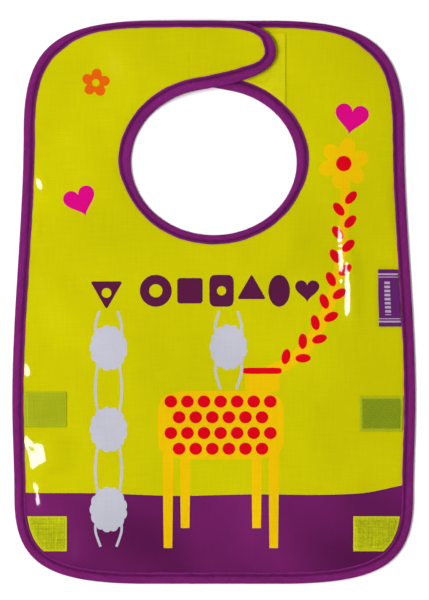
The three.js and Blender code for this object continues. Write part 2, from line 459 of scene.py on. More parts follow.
@dataclass(frozen=True)
class Finish:
    """One cloth-like finish, woven on a UV map called Flat.

    Attributes:
        name: The material's name.
        slot: The record's material slot; not used.
        colour: Linear colour, or None where the print gives it.
        threads: Threads per metre of the weave.
        weave_depth: How deep the weave's bump is.
        slub: How much the threads vary in tone.
        mottle: How much the dye varies.
        roughness: Of the fibres.
        sheen: Weight of the fibres' soft edge light.
        coat: Weight of a clear film over it.
        coat_roughness: Of that film.
        specular: Strength of the fibres' own gloss.
    """

    name: str
    slot: str
    colour: tuple[float, float, float] | None = None
    threads: float = 2200.0
    weave_depth: float = 0.00006
    slub: float = 0.10
    mottle: float = 0.10
    roughness: float = 0.8
    sheen: float = 0.0
    coat: float = 0.0
    coat_roughness: float = 0.08
    specular: float = 0.25

    def material(self, effects: dict[str, bpy.types.NodeTree]) -> bpy.types.Material:
        """Builds the material.

        Args:
            effects: The shared node groups by name.

        Returns:
            The material.
        """
        made = bpy.data.materials.new(self.name)
        made.use_nodes = True
        tree = made.node_tree
        tree.nodes.clear()
        make = Nodes(tree)
        out = make.add("OutputMaterial")
        shader = make.add("BsdfPrincipled")
        tree.links.new(shader.outputs[0], out.inputs[0])
        flat = make.add("UVMap", {"uv_map": "Flat"}).outputs[0]
        weave = make.add("Group", {"node_tree": effects["weave"]}, Flat=flat,
                         Threads=self.threads, Slub=self.slub)
        mottle = make.add("Group", {"node_tree": effects["mottle"]}, Place=flat,
                          Size=22.0, Strength=self.mottle)
        if self.colour is None:
            colour = make.add("Attribute", {"attribute_name": "Ink"}).outputs["Color"]
        else:
            colour = self.colour
        # The weave's tint carries painted shade between threads; the mottle is random tone.
        tint = make.math("MULTIPLY", weave.outputs["Tint"], mottle.outputs["Tint"])
        tinted = make.add("VectorMath", {"operation": "SCALE"}, i0=colour)
        make.feed(tinted.inputs["Scale"], tint)
        make.feed(shader.inputs["Base Color"], tinted.outputs[0])
        bump = make.add("Bump", Height=weave.outputs["Height"], Distance=self.weave_depth,
                        Strength=1.0)
        make.feed(shader.inputs["Normal"], bump.outputs[0])
        shader.inputs["Roughness"].default_value = self.roughness
        shader.inputs["Specular IOR Level"].default_value = self.specular
        shader.inputs["Sheen Weight"].default_value = self.sheen
        shader.inputs["Sheen Roughness"].default_value = 0.4
        if self.sheen and self.colour:
            bright = [min(1.0, 2.2 * c + 0.05) for c in self.colour]
            shader.inputs["Sheen Tint"].default_value = (*bright, 1.0)
        shader.inputs["Coat Weight"].default_value = self.coat
        shader.inputs["Coat Roughness"].default_value = self.coat_roughness
        shader.inputs["Coat IOR"].default_value = 1.48
        return made


PRINTED = Finish("Printed cotton under clear film", "printed_cotton", roughness=0.6, coat=1.0,
                 slub=0.13, mottle=0.08, specular=0.0)
BACKING = Finish("Plain cotton backing", "backing_cotton", (0.72, 0.69, 0.61), threads=1900.0,
                 roughness=0.9, sheen=0.1)
TAPE = Finish("Plum binding tape", "binding_tape", threads=1500.0, slub=0.55,
              mottle=0.35, weave_depth=0.00012, roughness=0.85, specular=0.05)
THREAD = Finish("Plum sewing thread", "thread", (0.062, 0.006, 0.050), threads=3000.0,
                roughness=0.7, specular=0.1)
LIME_THREAD = replace(THREAD, name="Lime sewing thread", slot="hook_tape",
                      colour=(0.30, 0.33, 0.006))
HOOK_TAPE = Finish("Hook tape", "hook_tape", (0.36, 0.41, 0.004), threads=1500.0,
                   slub=0.3, weave_depth=0.00012, roughness=0.7, specular=0.1)
HOOKS = Finish("Nylon hooks", "hook_tape", (0.46, 0.50, 0.008), roughness=0.4, specular=0.3)
HOOK_TAPE_DARK = replace(HOOK_TAPE, name="Darker hook tape", colour=(0.20, 0.27, 0.004))
HOOKS_DARK = replace(HOOKS, name="Darker nylon hooks", colour=(0.40, 0.45, 0.012))
LOOP_TAPE = replace(HOOK_TAPE, name="Loop tape", slot="loop_tape", colour=(0.50, 0.50, 0.006),
                    roughness=0.85)
NAP = Finish("Nap under the loops", "loop_tape", (0.42, 0.44, 0.005), threads=900.0,
             slub=0.9, mottle=0.5, weave_depth=0.0002, roughness=0.9, specular=0.05)
LOOPS = Finish("Napped loops", "loop_tape", (0.50, 0.505, 0.010), mottle=0.5, roughness=0.8,
               specular=0.1)
CLOSURE_LOOP = Finish("Lime loop patch", "closure_loop", (0.55, 0.515, 0.002), threads=1500.0,
                      slub=0.2, roughness=0.85, specular=0.05)
CLOSURE_NAP = Finish("Lime loop nap", "closure_loop", (0.55, 0.515, 0.002), roughness=0.85,
                     specular=0.05)
CLOSURE_THREAD = replace(THREAD, name="Closure thread", slot="closure_loop",
                         colour=(0.47, 0.45, 0.002))
LABEL = Finish("Woven satin label", "woven_label", (0.100, 0.007, 0.118), threads=3600.0,
               slub=0.15, roughness=0.6, specular=0.12)
LABEL_MARK = Finish("Woven label stripe", "woven_label", (0.42, 0.30, 0.44), threads=3600.0,
                    roughness=0.5, specular=0.2)


class Wardrobe:
    """Makes each finish's material once, and puts it on pieces."""

    def __init__(self) -> None:
        """Builds the shared effects."""
        self.effects = {"weave": weave_effect(), "mottle": mottle_effect()}
        self.made: dict[str, bpy.types.Material] = {}

    def material(self, finish: Finish) -> bpy.types.Material:
        """The material of a finish, made when it is first asked for."""
        if finish.name not in self.made:
            self.made[finish.name] = finish.material(self.effects)
        return self.made[finish.name]

    def dress(self, piece: bpy.types.Object, *finishes: Finish) -> bpy.types.Object:
        """Gives a piece its materials.

        Args:
            piece: The object.
            *finishes: Its finishes, in the order of its material slots.

        Returns:
            The same object.
        """
        for finish in finishes:
            piece.data.materials.append(self.material(finish))
        return piece


# ---- The bib's outline and layers ----


@dataclass
class Outline:
    """The bib's cut edge, as the right half's path from the hem's middle round the right strap
    and down the neck opening to its lowest point.

    Attributes:
        length: Of the whole bib, along Y.
        width: Of the whole bib at its widest.
        shoulder_width: Between the ends of the top corners' curves.
        hem_width: Between the ends of the bottom corners' curves.
        widest_height: How far above the hem it is widest.
        top_corner: How far down the side a top corner's curve reaches.
        top_corner_reach: How far along the top it reaches.
        bottom_corner: How far up the side a bottom corner's curve reaches.
        bottom_corner_reach: How far along the hem it reaches.
        corner_fullness: Share of those reaches that a curve's handles cover.
        neck_width: Of the neck opening.
        neck_height: Of the neck opening.
        strap_width: From the neck opening up to the bib's top.
        strap_reach: How far a strap's tip goes past the middle.
        tip_drop: How far the tip's furthest point is below the top.
        tip_fullness: Length of the handles that round the tip.
        top_straight: Share of the strap's reach that its top handle covers.
        strap_sweep: Length of the handle that leaves the neck opening.
        strap_join: Where the strap leaves the neck opening, in radians from its top.
        step: From one point of the path to the next.
        right: The right half's path.
    """

    length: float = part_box("edge_binding_left")[1].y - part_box("edge_binding_pocket")[0].y
    width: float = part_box("edge_binding_right")[1].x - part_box("edge_binding_left")[0].x
    shoulder_width: float = 266 * MM
    hem_width: float = 279 * MM
    widest_height: float = 128 * MM
    top_corner: float = 76 * MM
    top_corner_reach: float = 92 * MM
    bottom_corner: float = 60 * MM
    bottom_corner_reach: float = 92 * MM
    corner_fullness: float = 0.76
    neck_width: float = 116 * MM
    neck_height: float = 102 * MM
    strap_width: float = 48 * MM
    strap_reach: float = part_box("edge_binding_strap")[1].x
    tip_drop: float = 22 * MM
    tip_fullness: float = 16 * MM
    top_straight: float = 0.6
    strap_sweep: float = 30 * MM
    strap_join: float = 0.2
    step: float = 0.8 * MM
    right: Points = field(init=False)

    def __post_init__(self) -> None:
        """Draws the right half's path."""
        top, bottom = self.length / 2, -self.length / 2
        side, hem, shoulder = self.width / 2, self.hem_width / 2, self.shoulder_width / 2
        widest = bottom + self.widest_height
        softer = 1 - self.corner_fullness
        low, high = self.bottom_corner, self.top_corner
        low_x, high_x = self.bottom_corner_reach, self.top_corner_reach
        lower = (widest - bottom - low) / 3
        upper = (top - high - widest) / 3
        tip = top - self.tip_drop
        reach = self.strap_reach
        join = self.on_neck(self.strap_join)
        run = np.array([-self.neck_width * math.cos(self.strap_join),
                        self.neck_height * math.sin(self.strap_join)])
        sweep = join + run / np.linalg.norm(run) * self.strap_sweep
        parts = [
            np.array([[0, bottom], [hem - low_x, bottom]]),
            bezier((hem - low_x, bottom), (hem - low_x * softer, bottom),
                   (hem, bottom + low * softer), (hem, bottom + low)),
            bezier((hem, bottom + low), (hem, bottom + low + lower), (side, widest - lower),
                   (side, widest)),
            bezier((side, widest), (side, widest + upper), (shoulder, top - high - upper),
                   (shoulder, top - high)),
            bezier((shoulder, top - high), (shoulder, top - high * softer),
                   (shoulder - high_x * softer, top), (shoulder - high_x, top)),
            np.array([[0, top]]),
            bezier((0, top), (-reach * self.top_straight, top), (-reach, tip + self.tip_fullness),
                   (-reach, tip)),
            bezier((-reach, tip), (-reach, tip - self.tip_fullness), sweep, join),
            np.array([self.on_neck(a) for a in np.linspace(self.strap_join, math.pi, 160)[1:]]),
        ]
        self.right = even(np.concatenate(parts), self.step)
        self.right[-1, 0] = 0.0

    @property
    def neck_middle(self) -> float:
        """Where the neck opening's middle is along Y."""
        return self.length / 2 - self.strap_width - self.neck_height / 2

    def on_neck(self, angle: float) -> Points:
        """The neck opening's edge at an angle from its top, towards +X."""
        return np.array([self.neck_width / 2 * math.sin(angle),
                         self.neck_middle + self.neck_height / 2 * math.cos(angle)])

    def half(self, inset: float, left: bool = False) -> Points:
        """The closed outline of one half of the cloth.

        Args:
            inset: How far inside the bib's edge it is.
            left: Whether it is the left half.

        Returns:
            Its points, anticlockwise.
        """
        path = offset(self.right, inset)
        path[[0, -1], 0] = 0.0
        return mirrored(path) if left else path

    def whole(self, inset: float) -> Points:
        """The whole edge as one loop: the right half's path and then the left half's."""
        right = self.half(inset)
        return np.concatenate([right, mirrored(right)[1:-1]])


@dataclass
class Levels:
    """Heights of the layers above the table, read from the frame, and two widths at the edge.

    Attributes:
        backing_top: Top of the backing.
        backing: Its thickness.
        panel_top: Top of the front panel.
        panel: Its thickness.
        binding_top: Top of the binding.
        strap_rise: How much higher the upper strap lies than the panel.
        binding_width: Of the tape's section before it is narrowed.
        edge_inset: How far the cloth's edge lies inside the tape's.
    """

    backing_top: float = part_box("backing_pocket")[1].z
    backing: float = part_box("backing_pocket")[1].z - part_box("backing_pocket")[0].z
    panel_top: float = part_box("front_panel_pocket")[1].z
    panel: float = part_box("front_panel_pocket")[1].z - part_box("front_panel_pocket")[0].z
    binding_top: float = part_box("edge_binding_pocket")[1].z
    strap_rise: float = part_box("front_panel_strap")[1].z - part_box("front_panel_pocket")[1].z
    binding_width: float = 8.2 * MM
    edge_inset: float = 0.8 * MM


@dataclass(frozen=True)
class Bend:
    """A line where the cloth bends, between two bodies of the frame.

    Attributes:
        root: The body before the bend; not used.
        moving: The body after it; not used.
        start: Where the bend starts.
        end: Where it ends.
    """

    root: str
    moving: str
    start: tuple[float, float, float]
    end: tuple[float, float, float]

    def across(self, piece: bpy.types.Object) -> None:
        """Bakes a piece's placement into its mesh; nothing here makes it bend."""
        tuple(self.start)
        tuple(self.end)
        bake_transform(piece)


def hinge_of(joint: str) -> Vector:
    """The point on a joint's axis that the record gives."""
    return Vector(next(j["pos_m"] for j in frame["joints"] if j["name"] == joint))


FOLD_AT = hinge_of("pocket_fold")
STRAP_AT = hinge_of("neck_strap_lift")
LABEL_AT = hinge_of("label_flip")
FOLD_HALF = 2.6 * MM
STRAP_HALF = 2.4 * MM
LABEL_HALF = 1.0 * MM
POCKET_BEND = Bend("bib", "pocket_flap", (0, FOLD_AT.y + FOLD_HALF, 0),
                   (0, FOLD_AT.y - FOLD_HALF, 0))
STRAP_BEND = Bend("bib", "neck_strap", (STRAP_AT.x - STRAP_HALF, 0, 0),
                  (STRAP_AT.x + STRAP_HALF, 0, 0))
LABEL_BEND = Bend("bib", "label", (LABEL_AT.x + LABEL_HALF, 0, 0),
                  (LABEL_AT.x - LABEL_HALF, 0, 0))
STRAP_SPLIT = STRAP_AT.x - 5 * MM


# ---- How the cloth lies ----


@dataclass(frozen=True)
class Crease:
    """A soft ridge in the cloth, with a face on its left side and a back on its right.

    Attributes:
        start: One end of its crest in plan.
        end: The other end.
        face: How far its left side reaches from the crest.
        back: How far its right side reaches.
        height: Of its crest.
    """

    start: tuple[float, float]
    end: tuple[float, float]
    face: float
    back: float
    height: float

    def lift(self, points: Points) -> np.ndarray:
        """How far it lifts the cloth.

        Args:
            points: Plan points, one per row.

        Returns:
            One height per point.
        """
        start, run = np.array(self.start), np.array(self.end) - np.array(self.start)
        length = float(np.linalg.norm(run))
        along = (points - start) @ run / length ** 2
        across = (points - start) @ np.array([-run[1], run[0]]) / length
        side = smoothstep(1 - np.abs(across) / np.where(across > 0, self.face, self.back))
        return self.height * side * smoothstep(0.5 + 2.5 * np.minimum(along, 1 - along))


class Drape:
    """How far the cloth stands above its flat level, from a cloth simulation and a few creases."""

    CELL = 4.5 * MM
    SPARE = 0.0012
    FRAMES = 28
    HIGHEST = 1.1 * MM
    RIPPLE = 0.30 * MM
    CREASES = (
        Crease((-0.1135, -0.117), (-0.1165, -0.094), 17 * MM, 22 * MM, 2.5 * MM),
        Crease((-0.1275, -0.101), (-0.1300, -0.087), 4 * MM, 4 * MM, 0.6 * MM),
        Crease((-0.1180, -0.150), (-0.1225, -0.124), 5 * MM, 8 * MM, 0.80 * MM),
        Crease((-0.1180, 0.078), (-0.1205, 0.088), 5 * MM, 7 * MM, 0.80 * MM),
        Crease((-0.1255, 0.044), (-0.1270, 0.068), 5 * MM, 6 * MM, 0.80 * MM),
        Crease((-0.1275, -0.053), (-0.1280, -0.042), 4.5 * MM, 5 * MM, 0.75 * MM),
        Crease((0.0915, 0.018), (0.0905, 0.056), 5 * MM, 9 * MM, 1.15 * MM),
        Crease((0.0965, -0.014), (0.0970, 0.038), 6 * MM, 9 * MM, 1.65 * MM),
        Crease((0.0300, 0.010), (0.0600, 0.050), 18 * MM, 18 * MM, 1.1 * MM),
        Crease((0.1260, 0.050), (0.1180, 0.090), 14 * MM, 14 * MM, 0.8 * MM),
        Crease((-0.0950, -0.020), (-0.1150, 0.020), 18 * MM, 18 * MM, 1.0 * MM),
        Crease((-0.0800, 0.085), (-0.1000, 0.120), 20 * MM, 20 * MM, 1.1 * MM),
        Crease((0.0000, -0.100), (-0.0300, -0.112), 14 * MM, 14 * MM, 0.8 * MM),
        Crease((0.0200, -0.185), (0.0400, -0.140), 18 * MM, 18 * MM, 1.0 * MM),
        Crease((-0.0950, -0.190), (-0.0800, -0.150), 16 * MM, 16 * MM, 0.9 * MM),
        Crease((0.0850, -0.135), (0.1050, -0.128), 14 * MM, 14 * MM, 0.8 * MM),
        Crease((-0.0580, 0.130), (-0.0690, 0.186), 20 * MM, 20 * MM, 0.9 * MM),
    )
    HELD = ("pocket_hook_pad_left", "pocket_hook_pad_right", "pocket_loop_pad_left",
            "pocket_loop_pad_right", "closure_hook_patch", "closure_loop_patch", "side_label")
    HELD_SPREAD = 8 * MM
    HELD_SHARE = 0.12
    START_HEIGHT = 0.3 * MM
    BOUND_WIDTH = 7 * MM
    SMOOTHINGS = 3
    LYING_PERCENT = 12
    RISE_REACH = 34 * MM
    FLAT_RISE = 0.74
    LAP_RISE = 0.26

    def __init__(self, outline: Outline, levels: Levels) -> None:
        """Runs the simulation.

        Args:
            outline: The bib's outline.
            levels: Its layers.
        """
        self.outline = outline
        self.levels = levels
        self.edge = outline.whole(0.0)
        self.lower_strap = outline.half(0.0)[self.lower_strap_rows()]
        half_x, half_y = outline.width / 2, outline.length / 2
        self.xs = np.arange(-half_x, half_x + self.CELL, self.CELL)
        self.ys = np.arange(-half_y, half_y + self.CELL, self.CELL)
        self.heights = self.settle()

    def lower_strap_rows(self) -> np.ndarray:
        """Which points of the right half's path belong to its strap, left of the middle."""
        path = self.outline.half(0.0)
        return (path[:, 0] < 1 * MM) & (path[:, 1] > self.outline.neck_middle)

    def settle(self) -> Points:
        """Lets a slightly oversize cloth settle inside its bound edge.

        Returns:
            The heights on the grid, smoothed.
        """
        deselect()
        nx, ny = len(self.xs), len(self.ys)
        bpy.ops.mesh.primitive_grid_add(x_subdivisions=nx - 1, y_subdivisions=ny - 1, size=2)
        cloth = bpy.context.active_object
        flat = lattice(self.xs, self.ys)
        keep_in = inside(flat, self.outline.half(0)) | inside(flat, self.outline.half(0, True))
        rim = distance_to(flat, self.edge, closed=True)
        loose = smoothstep((rim - self.BOUND_WIDTH) / (3 * MM))
        seeds = np.random.default_rng(11)
        start = self.START_HEIGHT * seeds.random(len(flat)) * loose
        places = np.column_stack([flat, start + self.levels.panel_top])
        order = self.grid_order(cloth, nx, ny)
        cloth.data.vertices.foreach_set("co", places[order].ravel())
        pinned = cloth.vertex_groups.new(name="bound edge")
        for vertex, place in enumerate(order):
            if loose[place] < 0.5 or not keep_in[place]:
                pinned.add([vertex], 1.0, "REPLACE")
        bpy.ops.mesh.primitive_plane_add(size=1)
        table = bpy.context.active_object
        table.modifiers.new("Collision", "COLLISION")
        table.collision.thickness_outer = 0.9 * MM
        sim = cloth.modifiers.new("Cloth", "CLOTH")
        sim.settings.quality = 6
        sim.settings.mass = 0.03
        sim.settings.tension_stiffness = 40
        sim.settings.compression_stiffness = 40
        sim.settings.shear_stiffness = 20
        sim.settings.bending_stiffness = 4.0
        sim.settings.vertex_group_mass = "bound edge"
        sim.settings.shrink_min = -self.SPARE
        sim.collision_settings.distance_min = 0.6 * MM
        scene = bpy.context.scene
        for number in range(1, self.FRAMES + 1):
            scene.frame_set(number)
            log.debug("frame %d", number)
        settled = cloth.evaluated_get(bpy.context.evaluated_depsgraph_get()).data
        out = np.zeros(len(flat) * 3)
        settled.vertices.foreach_get("co", out)
        heights = np.zeros(len(flat))
        heights[order] = out.reshape(-1, 3)[:, 2] - self.levels.panel_top
        scene.frame_set(1)
        for used in (cloth, table):
            bpy.data.objects.remove(used, do_unlink=True)
        log.info("cloth settled: %.2f to %.2f mm", heights.min() / MM, heights.max() / MM)
        heights = (heights * keep_in).reshape(nx, ny)
        for _ in range(self.SMOOTHINGS):
            heights = self.smoothed(heights)
        lying = np.percentile(heights[keep_in.reshape(nx, ny)], self.LYING_PERCENT)
        return np.clip(heights - lying, 0, None)

    @staticmethod
    def grid_order(cloth: bpy.types.Object, nx: int, ny: int) -> np.ndarray:
        """For each vertex of a primitive grid, its number in the plan arrays."""
        co = np.array([v.co[:2] for v in cloth.data.vertices])
        i = np.rint((co[:, 0] + 1) / 2 * (nx - 1)).astype(int)
        j = np.rint((co[:, 1] + 1) / 2 * (ny - 1)).astype(int)
        return i * ny + j

    @staticmethod
    def smoothed(grid: Points) -> Points:
        """A grid averaged once with its neighbours."""
        padded = np.pad(grid, 1, mode="edge")
        return (padded[:-2, 1:-1] + padded[2:, 1:-1] + padded[1:-1, :-2] + padded[1:-1, 2:]
                + 2 * grid) / 6

    def sampled(self, points: Points) -> np.ndarray:
        """The simulated height, between the grid's own points.

        Args:
            points: Plan points, one per row.

        Returns:
            One height per point.
        """
        u = np.clip((points[:, 0] - self.xs[0]) / self.CELL, 0, len(self.xs) - 1.001)
        v = np.clip((points[:, 1] - self.ys[0]) / self.CELL, 0, len(self.ys) - 1.001)
        i, j = u.astype(int), v.astype(int)
        fu, fv = smoothstep(u - i), smoothstep(v - j)
        h = self.heights
        return ((h[i, j] * (1 - fu) + h[i + 1, j] * fu) * (1 - fv)
                + (h[i, j + 1] * (1 - fu) + h[i + 1, j + 1] * fu) * fv)

    def lift(self, points: Points) -> np.ndarray:
        """How far the cloth is above its flat level.

        Args:
            points: Plan points, one per row.

        Returns:
            One height per point, fading to nothing at the binding.
        """
        gap = distance_to(points, self.edge, closed=True)
        free = smoothstep((gap - self.levels.binding_width + 0.5 * MM) / (9 * MM))
        waves = np.sin(points[:, 1] / (3.1 * MM) + 3 * np.sin(points[:, 1] / (21 * MM)))
        waves += 0.6 * np.sin(points[:, 0] / (3.7 * MM) + points[:, 1] / (9 * MM))
        near = smoothstep((gap - self.levels.binding_width + 1 * MM) / (5 * MM)) * np.exp(
            -np.maximum(gap - 12 * MM, 0) / (7 * MM))
        slow = 0.5 + 0.5 * np.sin(points[:, 1] / (29 * MM) + points[:, 0] / (53 * MM))
        ripple = self.RIPPLE * near * slow * (0.7 + 0.5 * waves)
        settled = np.minimum(self.sampled(points), self.HIGHEST)
        creases = sum(c.lift(points) for c in self.CREASES)
        loose = (free * settled + smoothstep(free * 3) * creases) * self.looseness(points)
        return np.maximum(loose + ripple, -0.1 * MM)

    def looseness(self, points: Points) -> np.ndarray:
        """How free the cloth is of what is sewn on, and of the strap closed over it.

        Args:
            points: Plan points, one per row.

        Returns:
            For each, from a small share where it is held to 1.
        """
        share = np.ones(len(points))
        for node in self.HELD:
            low, high = (np.array(end)[:2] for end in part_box(node))
            out = np.maximum(np.maximum(low - points, points - high), 0)
            away = smoothstep(np.linalg.norm(out, axis=1) / self.HELD_SPREAD)
            share *= self.HELD_SHARE + (1 - self.HELD_SHARE) * away
        straps = smoothstep((56 * MM - np.abs(points[:, 0])) / (12 * MM))
        straps *= smoothstep((points[:, 1] - self.outline.neck_middle - 30 * MM) / (15 * MM))
        return share * (1 - (1 - self.HELD_SHARE) * straps)

    def rise(self, points: Points) -> np.ndarray:
        """How far the upper strap's half is lifted where it passes over the lower strap.

        Args:
            points: Plan points, one per row.

        Returns:
            One height per point.
        """
        over = inside(points, self.lower_strap)
        gap = np.where(over, 0.0, distance_to(points, self.lower_strap, closed=True))
        near_top = smoothstep((points[:, 1] - self.outline.neck_middle) / (22 * MM))
        lie = 1 - smoothstep((gap - 1.5 * MM) / self.RISE_REACH)
        lap = smoothstep((points[:, 0] + self.outline.strap_reach) / (28 * MM))
        full = self.levels.strap_rise
        past = points[:, 0] > 0
        return np.where(past, 1.0, lie * near_top) * (
            self.FLAT_RISE * full + self.LAP_RISE * full * lap)


@dataclass
class OnBib:
    """What everything that is laid or sewn on the bib is made with.

    Attributes:
        outline: The bib's outline.
        levels: Its layers.
        drape: How it lies.
        wardrobe: The finishes.
    """

    outline: Outline
    levels: Levels
    drape: Drape
    wardrobe: Wardrobe


# ---- The print ----


def placed(shape: Points, x: float, y: float, turn: float) -> Points:
    """A shape turned about its middle by an angle in radians, and put at a place."""
    c, s = math.cos(turn), math.sin(turn)
    px, py = shape[:, 0], shape[:, 1]
    return np.stack([x + px * c - py * s, y + px * s + py * c], axis=1)


def oval(x: float, y: float, rx: float, ry: float, turn: float = 0.0, count: int = 40) -> Points:
    """An ellipse in millimetres, turned by an angle in radians."""
    a = np.linspace(0, 2 * math.pi, count, endpoint=False)
    return placed(np.stack([rx * np.cos(a), ry * np.sin(a)], axis=1), x, y, turn)


def cloud(x: float, y: float, rx: float, ry: float, bumps: int = 13) -> Points:
    """An ellipse whose edge is a ring of round bumps."""
    a = np.linspace(0, 2 * math.pi, bumps * 9, endpoint=False)
    swell = 1 + 0.085 * np.abs(np.sin(a * bumps / 2)) ** 0.8
    return np.stack([x + rx * swell * np.cos(a), y + ry * swell * np.sin(a)], axis=1)


def block(x: float, y: float, rx: float, ry: float, power: float = 3.4) -> Points:
    """A rounded rectangle, squarer for a greater power."""
    a = np.linspace(0, 2 * math.pi, 88, endpoint=False)
    c, s = np.cos(a), np.sin(a)
    return np.stack([x + rx * np.sign(c) * np.abs(c) ** (2 / power),
                     y + ry * np.sign(s) * np.abs(s) ** (2 / power)], axis=1)


def heart(x: float, y: float, size: float, turn: float = 0.0) -> Points:
    """A heart about as wide as its size."""
    a = np.linspace(0, 2 * math.pi, 60, endpoint=False)
    px = 16 * np.sin(a) ** 3 * size / 34
    py = (13 * np.cos(a) - 5 * np.cos(2 * a) - 2 * np.cos(3 * a) - np.cos(4 * a)) * size / 34
    return placed(np.stack([px, py], axis=1), x, y, turn)


def flower(x: float, y: float, size: float, petals: int = 5, turn: float = 0.0) -> Points:
    """A flower's outline with round petals, about as wide as its size."""
    a = np.linspace(0, 2 * math.pi, petals * 16, endpoint=False)
    r = size / 2 * (0.55 + 0.45 * np.abs(np.cos(petals * (a - turn) / 2)) ** 0.7)
    return np.stack([x + r * np.cos(a), y + r * np.sin(a)], axis=1)


def regular(x: float, y: float, radius: float, sides: int, turn: float) -> Points:
    """A regular polygon with slightly rounded corners."""
    a = np.linspace(0, 2 * math.pi, 72, endpoint=False)
    wedge = 2 * math.pi / sides
    local = (a - turn + wedge / 2) % wedge - wedge / 2
    r = np.minimum(radius * math.cos(wedge / 2) / np.cos(local), radius * 0.93)
    return np.stack([x + r * np.cos(a), y + r * np.sin(a)], axis=1)


def ribbon(middle: Points, widths: Sequence[float]) -> Points:
    """A band along a path.

    Args:
        middle: Its middle line.
        widths: Its width at the start and at the end.

    Returns:
        Its outline.
    """
    half = np.linspace(widths[0], widths[1], len(middle))[:, None] / 2
    run = directions(middle)
    side = left_of(run)
    return np.concatenate([middle + side * half, (middle - side * half)[::-1]])


class Print:
    """Plain nursery shapes printed on the cloth, drawn in millimetres from the bib's middle."""

    SPARE = 2.0
    GROUND_TOP = -135.0

    def __init__(self, outline: Outline) -> None:
        """Draws every shape in order, the later ones over the earlier.

        Args:
            outline: The bib's outline, which the ground runs out to.
        """
        self.half_width = outline.width / 2 / MM + self.SPARE
        self.bottom = -outline.length / 2 / MM - self.SPARE
        self.shapes: list[tuple[Ink, Points]] = []
        self.ground()
        self.table()
        self.clouds()
        self.row_of_shapes()
        self.small_motifs()

    def put(self, ink: Ink, shape: Points) -> None:
        """Adds one shape, given in millimetres, with its points anticlockwise."""
        points = np.asarray(shape) * MM
        self.shapes.append((ink, points if twice_area(points) > 0 else points[::-1]))

    def ground(self) -> None:
        """The plum ground along the hem, with a gently waving top."""
        x = np.linspace(-self.half_width, self.half_width, 60)
        y = self.GROUND_TOP + 2.6 * (x / 141) ** 2 + 6.0 * smoothstep((x - 100) / 50)
        y += 0.5 * np.sin(x / 17)
        corners = [[self.half_width, self.bottom], [-self.half_width, self.bottom]]
        self.put(Ink.PLUM, np.concatenate([np.stack([x, y], axis=1), corners]))

    def table(self) -> None:
        """A gold table under a dotted cloth, and on it a pot with a tall flower."""
        for x, foot in ((-20, -158), (30, -158), (-32, -172), (42, -172)):
            self.put(Ink.GOLD, ribbon(even(np.array([(x, -104.0), (x, foot)]), 8), (7.5, 6.0)))
        stem = np.concatenate([
            bezier((36, -50), (54, -44), (71, -30), (80, -4), 22),
            bezier((80, -4), (90, 20), (92, 50), (92, 90), 22)])
        self.put(Ink.GOLD, ribbon(stem, (9.0, 6.5)))
        self.put(Ink.GOLD, block(5, -86, 44, 24, 5.0))
        for row, y in enumerate((-69.5, -80.5, -91.5, -102.5)):
            for x in np.arange(-30 + 5.8 * (row % 2), 44, 11.6):
                self.put(Ink.RED, oval(x, y, 4.5, 4.3))
        points = even(stem, 8.4)[2:-2]
        for k, (part, run) in enumerate(zip(points, directions(points))):
            side = (-1) ** k
            self.put(Ink.RED, oval(part[0] - side * run[1] * 4.2, part[1] + side * run[0] * 4.2,
                                   5.4, 3.1, math.atan2(run[1], run[0]) + side * 0.7))
        self.put(Ink.GOLD, block(34, -55.5, 12, 7.5, 5.0))
        self.put(Ink.RED, block(34, -48, 13.5, 2.2, 6.0))
        self.put(Ink.GOLD, flower(91, 97, 36, 6, 0.3))
        self.put(Ink.RED, oval(91, 97, 5.4, 5.4))

    def clouds(self) -> None:
        """Three white clouds on a pair of strings at the left, and one in the middle."""
        for x, middles, top, low in ((-73.6, (-32, -89, -145), -4, -171),
                                     (10.3, (-31.4,), -4, -61)):
            for side in (-1, 1):
                ends = [top, *middles, low]
                for a, b in zip(ends[:-1], ends[1:]):
                    bow = (x + side * 10.5, (a + b) / 2)
                    string = bezier((x + side * 5.5, a), bow, bow, (x + side * 5.5, b), 18)
                    self.put(Ink.WHITE, ribbon(string, (1.7, 1.7)))
            for y in middles:
                self.put(Ink.WHITE, cloud(x, y, 12.2, 14.8))

    def row_of_shapes(self) -> None:
        """A row of plain dark shapes across the middle."""
        y, dark = 8.0, Ink.DARK
        self.put(dark, regular(-75.0, y, 13.2, 3, math.pi / 2))
        self.put(dark, oval(-40.5, y, 11.2, 11.2))
        self.put(dark, regular(-16.6, y, 12.6, 4, math.pi / 2))
        self.put(dark, block(5.5, y, 8.6, 11.2, 5.0))
        self.put(dark, regular(26.5, y, 11.8, 3, -math.pi / 2))
        self.put(dark, oval(45.8, y, 7.6, 11.2))
        self.put(dark, heart(65.4, y + 1, 18))
        self.put(Ink.LIME, oval(-75.0, y - 1.5, 3.4, 3.4))
        self.put(Ink.LIME, oval(-40.5, y, 4.6, 4.6))
        self.put(Ink.LIME, oval(5.5, y, 3.2, 3.2))

    def small_motifs(self) -> None:
        """Small pink hearts and an orange flower."""
        self.put(Ink.ORANGE, flower(-82.5, 153.5, 20, 5, 0.2))
        self.put(Ink.LIME, oval(-82.5, 153.5, 2.6, 2.6))
        self.put(Ink.PINK, heart(-93.5, 71.5, 24, 0.35))
        self.put(Ink.PINK, heart(96.5, 129.5, 25, -0.15))


# ---- The cloth ----


def uneven(places: Points) -> np.ndarray:
    """A slow, uneven wave over the cloth, between about -1 and 1."""
    x, y = places[:, 0] / MM, places[:, 1] / MM
    wave = np.sin(x / 23 + 0.9 * np.sin(y / 31)) + 0.8 * np.sin(y / 19 + 1.1 * np.sin(x / 27) + 2)
    wave += 0.5 * np.sin((x + y) / 11 + 1.3 * np.sin((x - y) / 29))
    return wave / 2.0


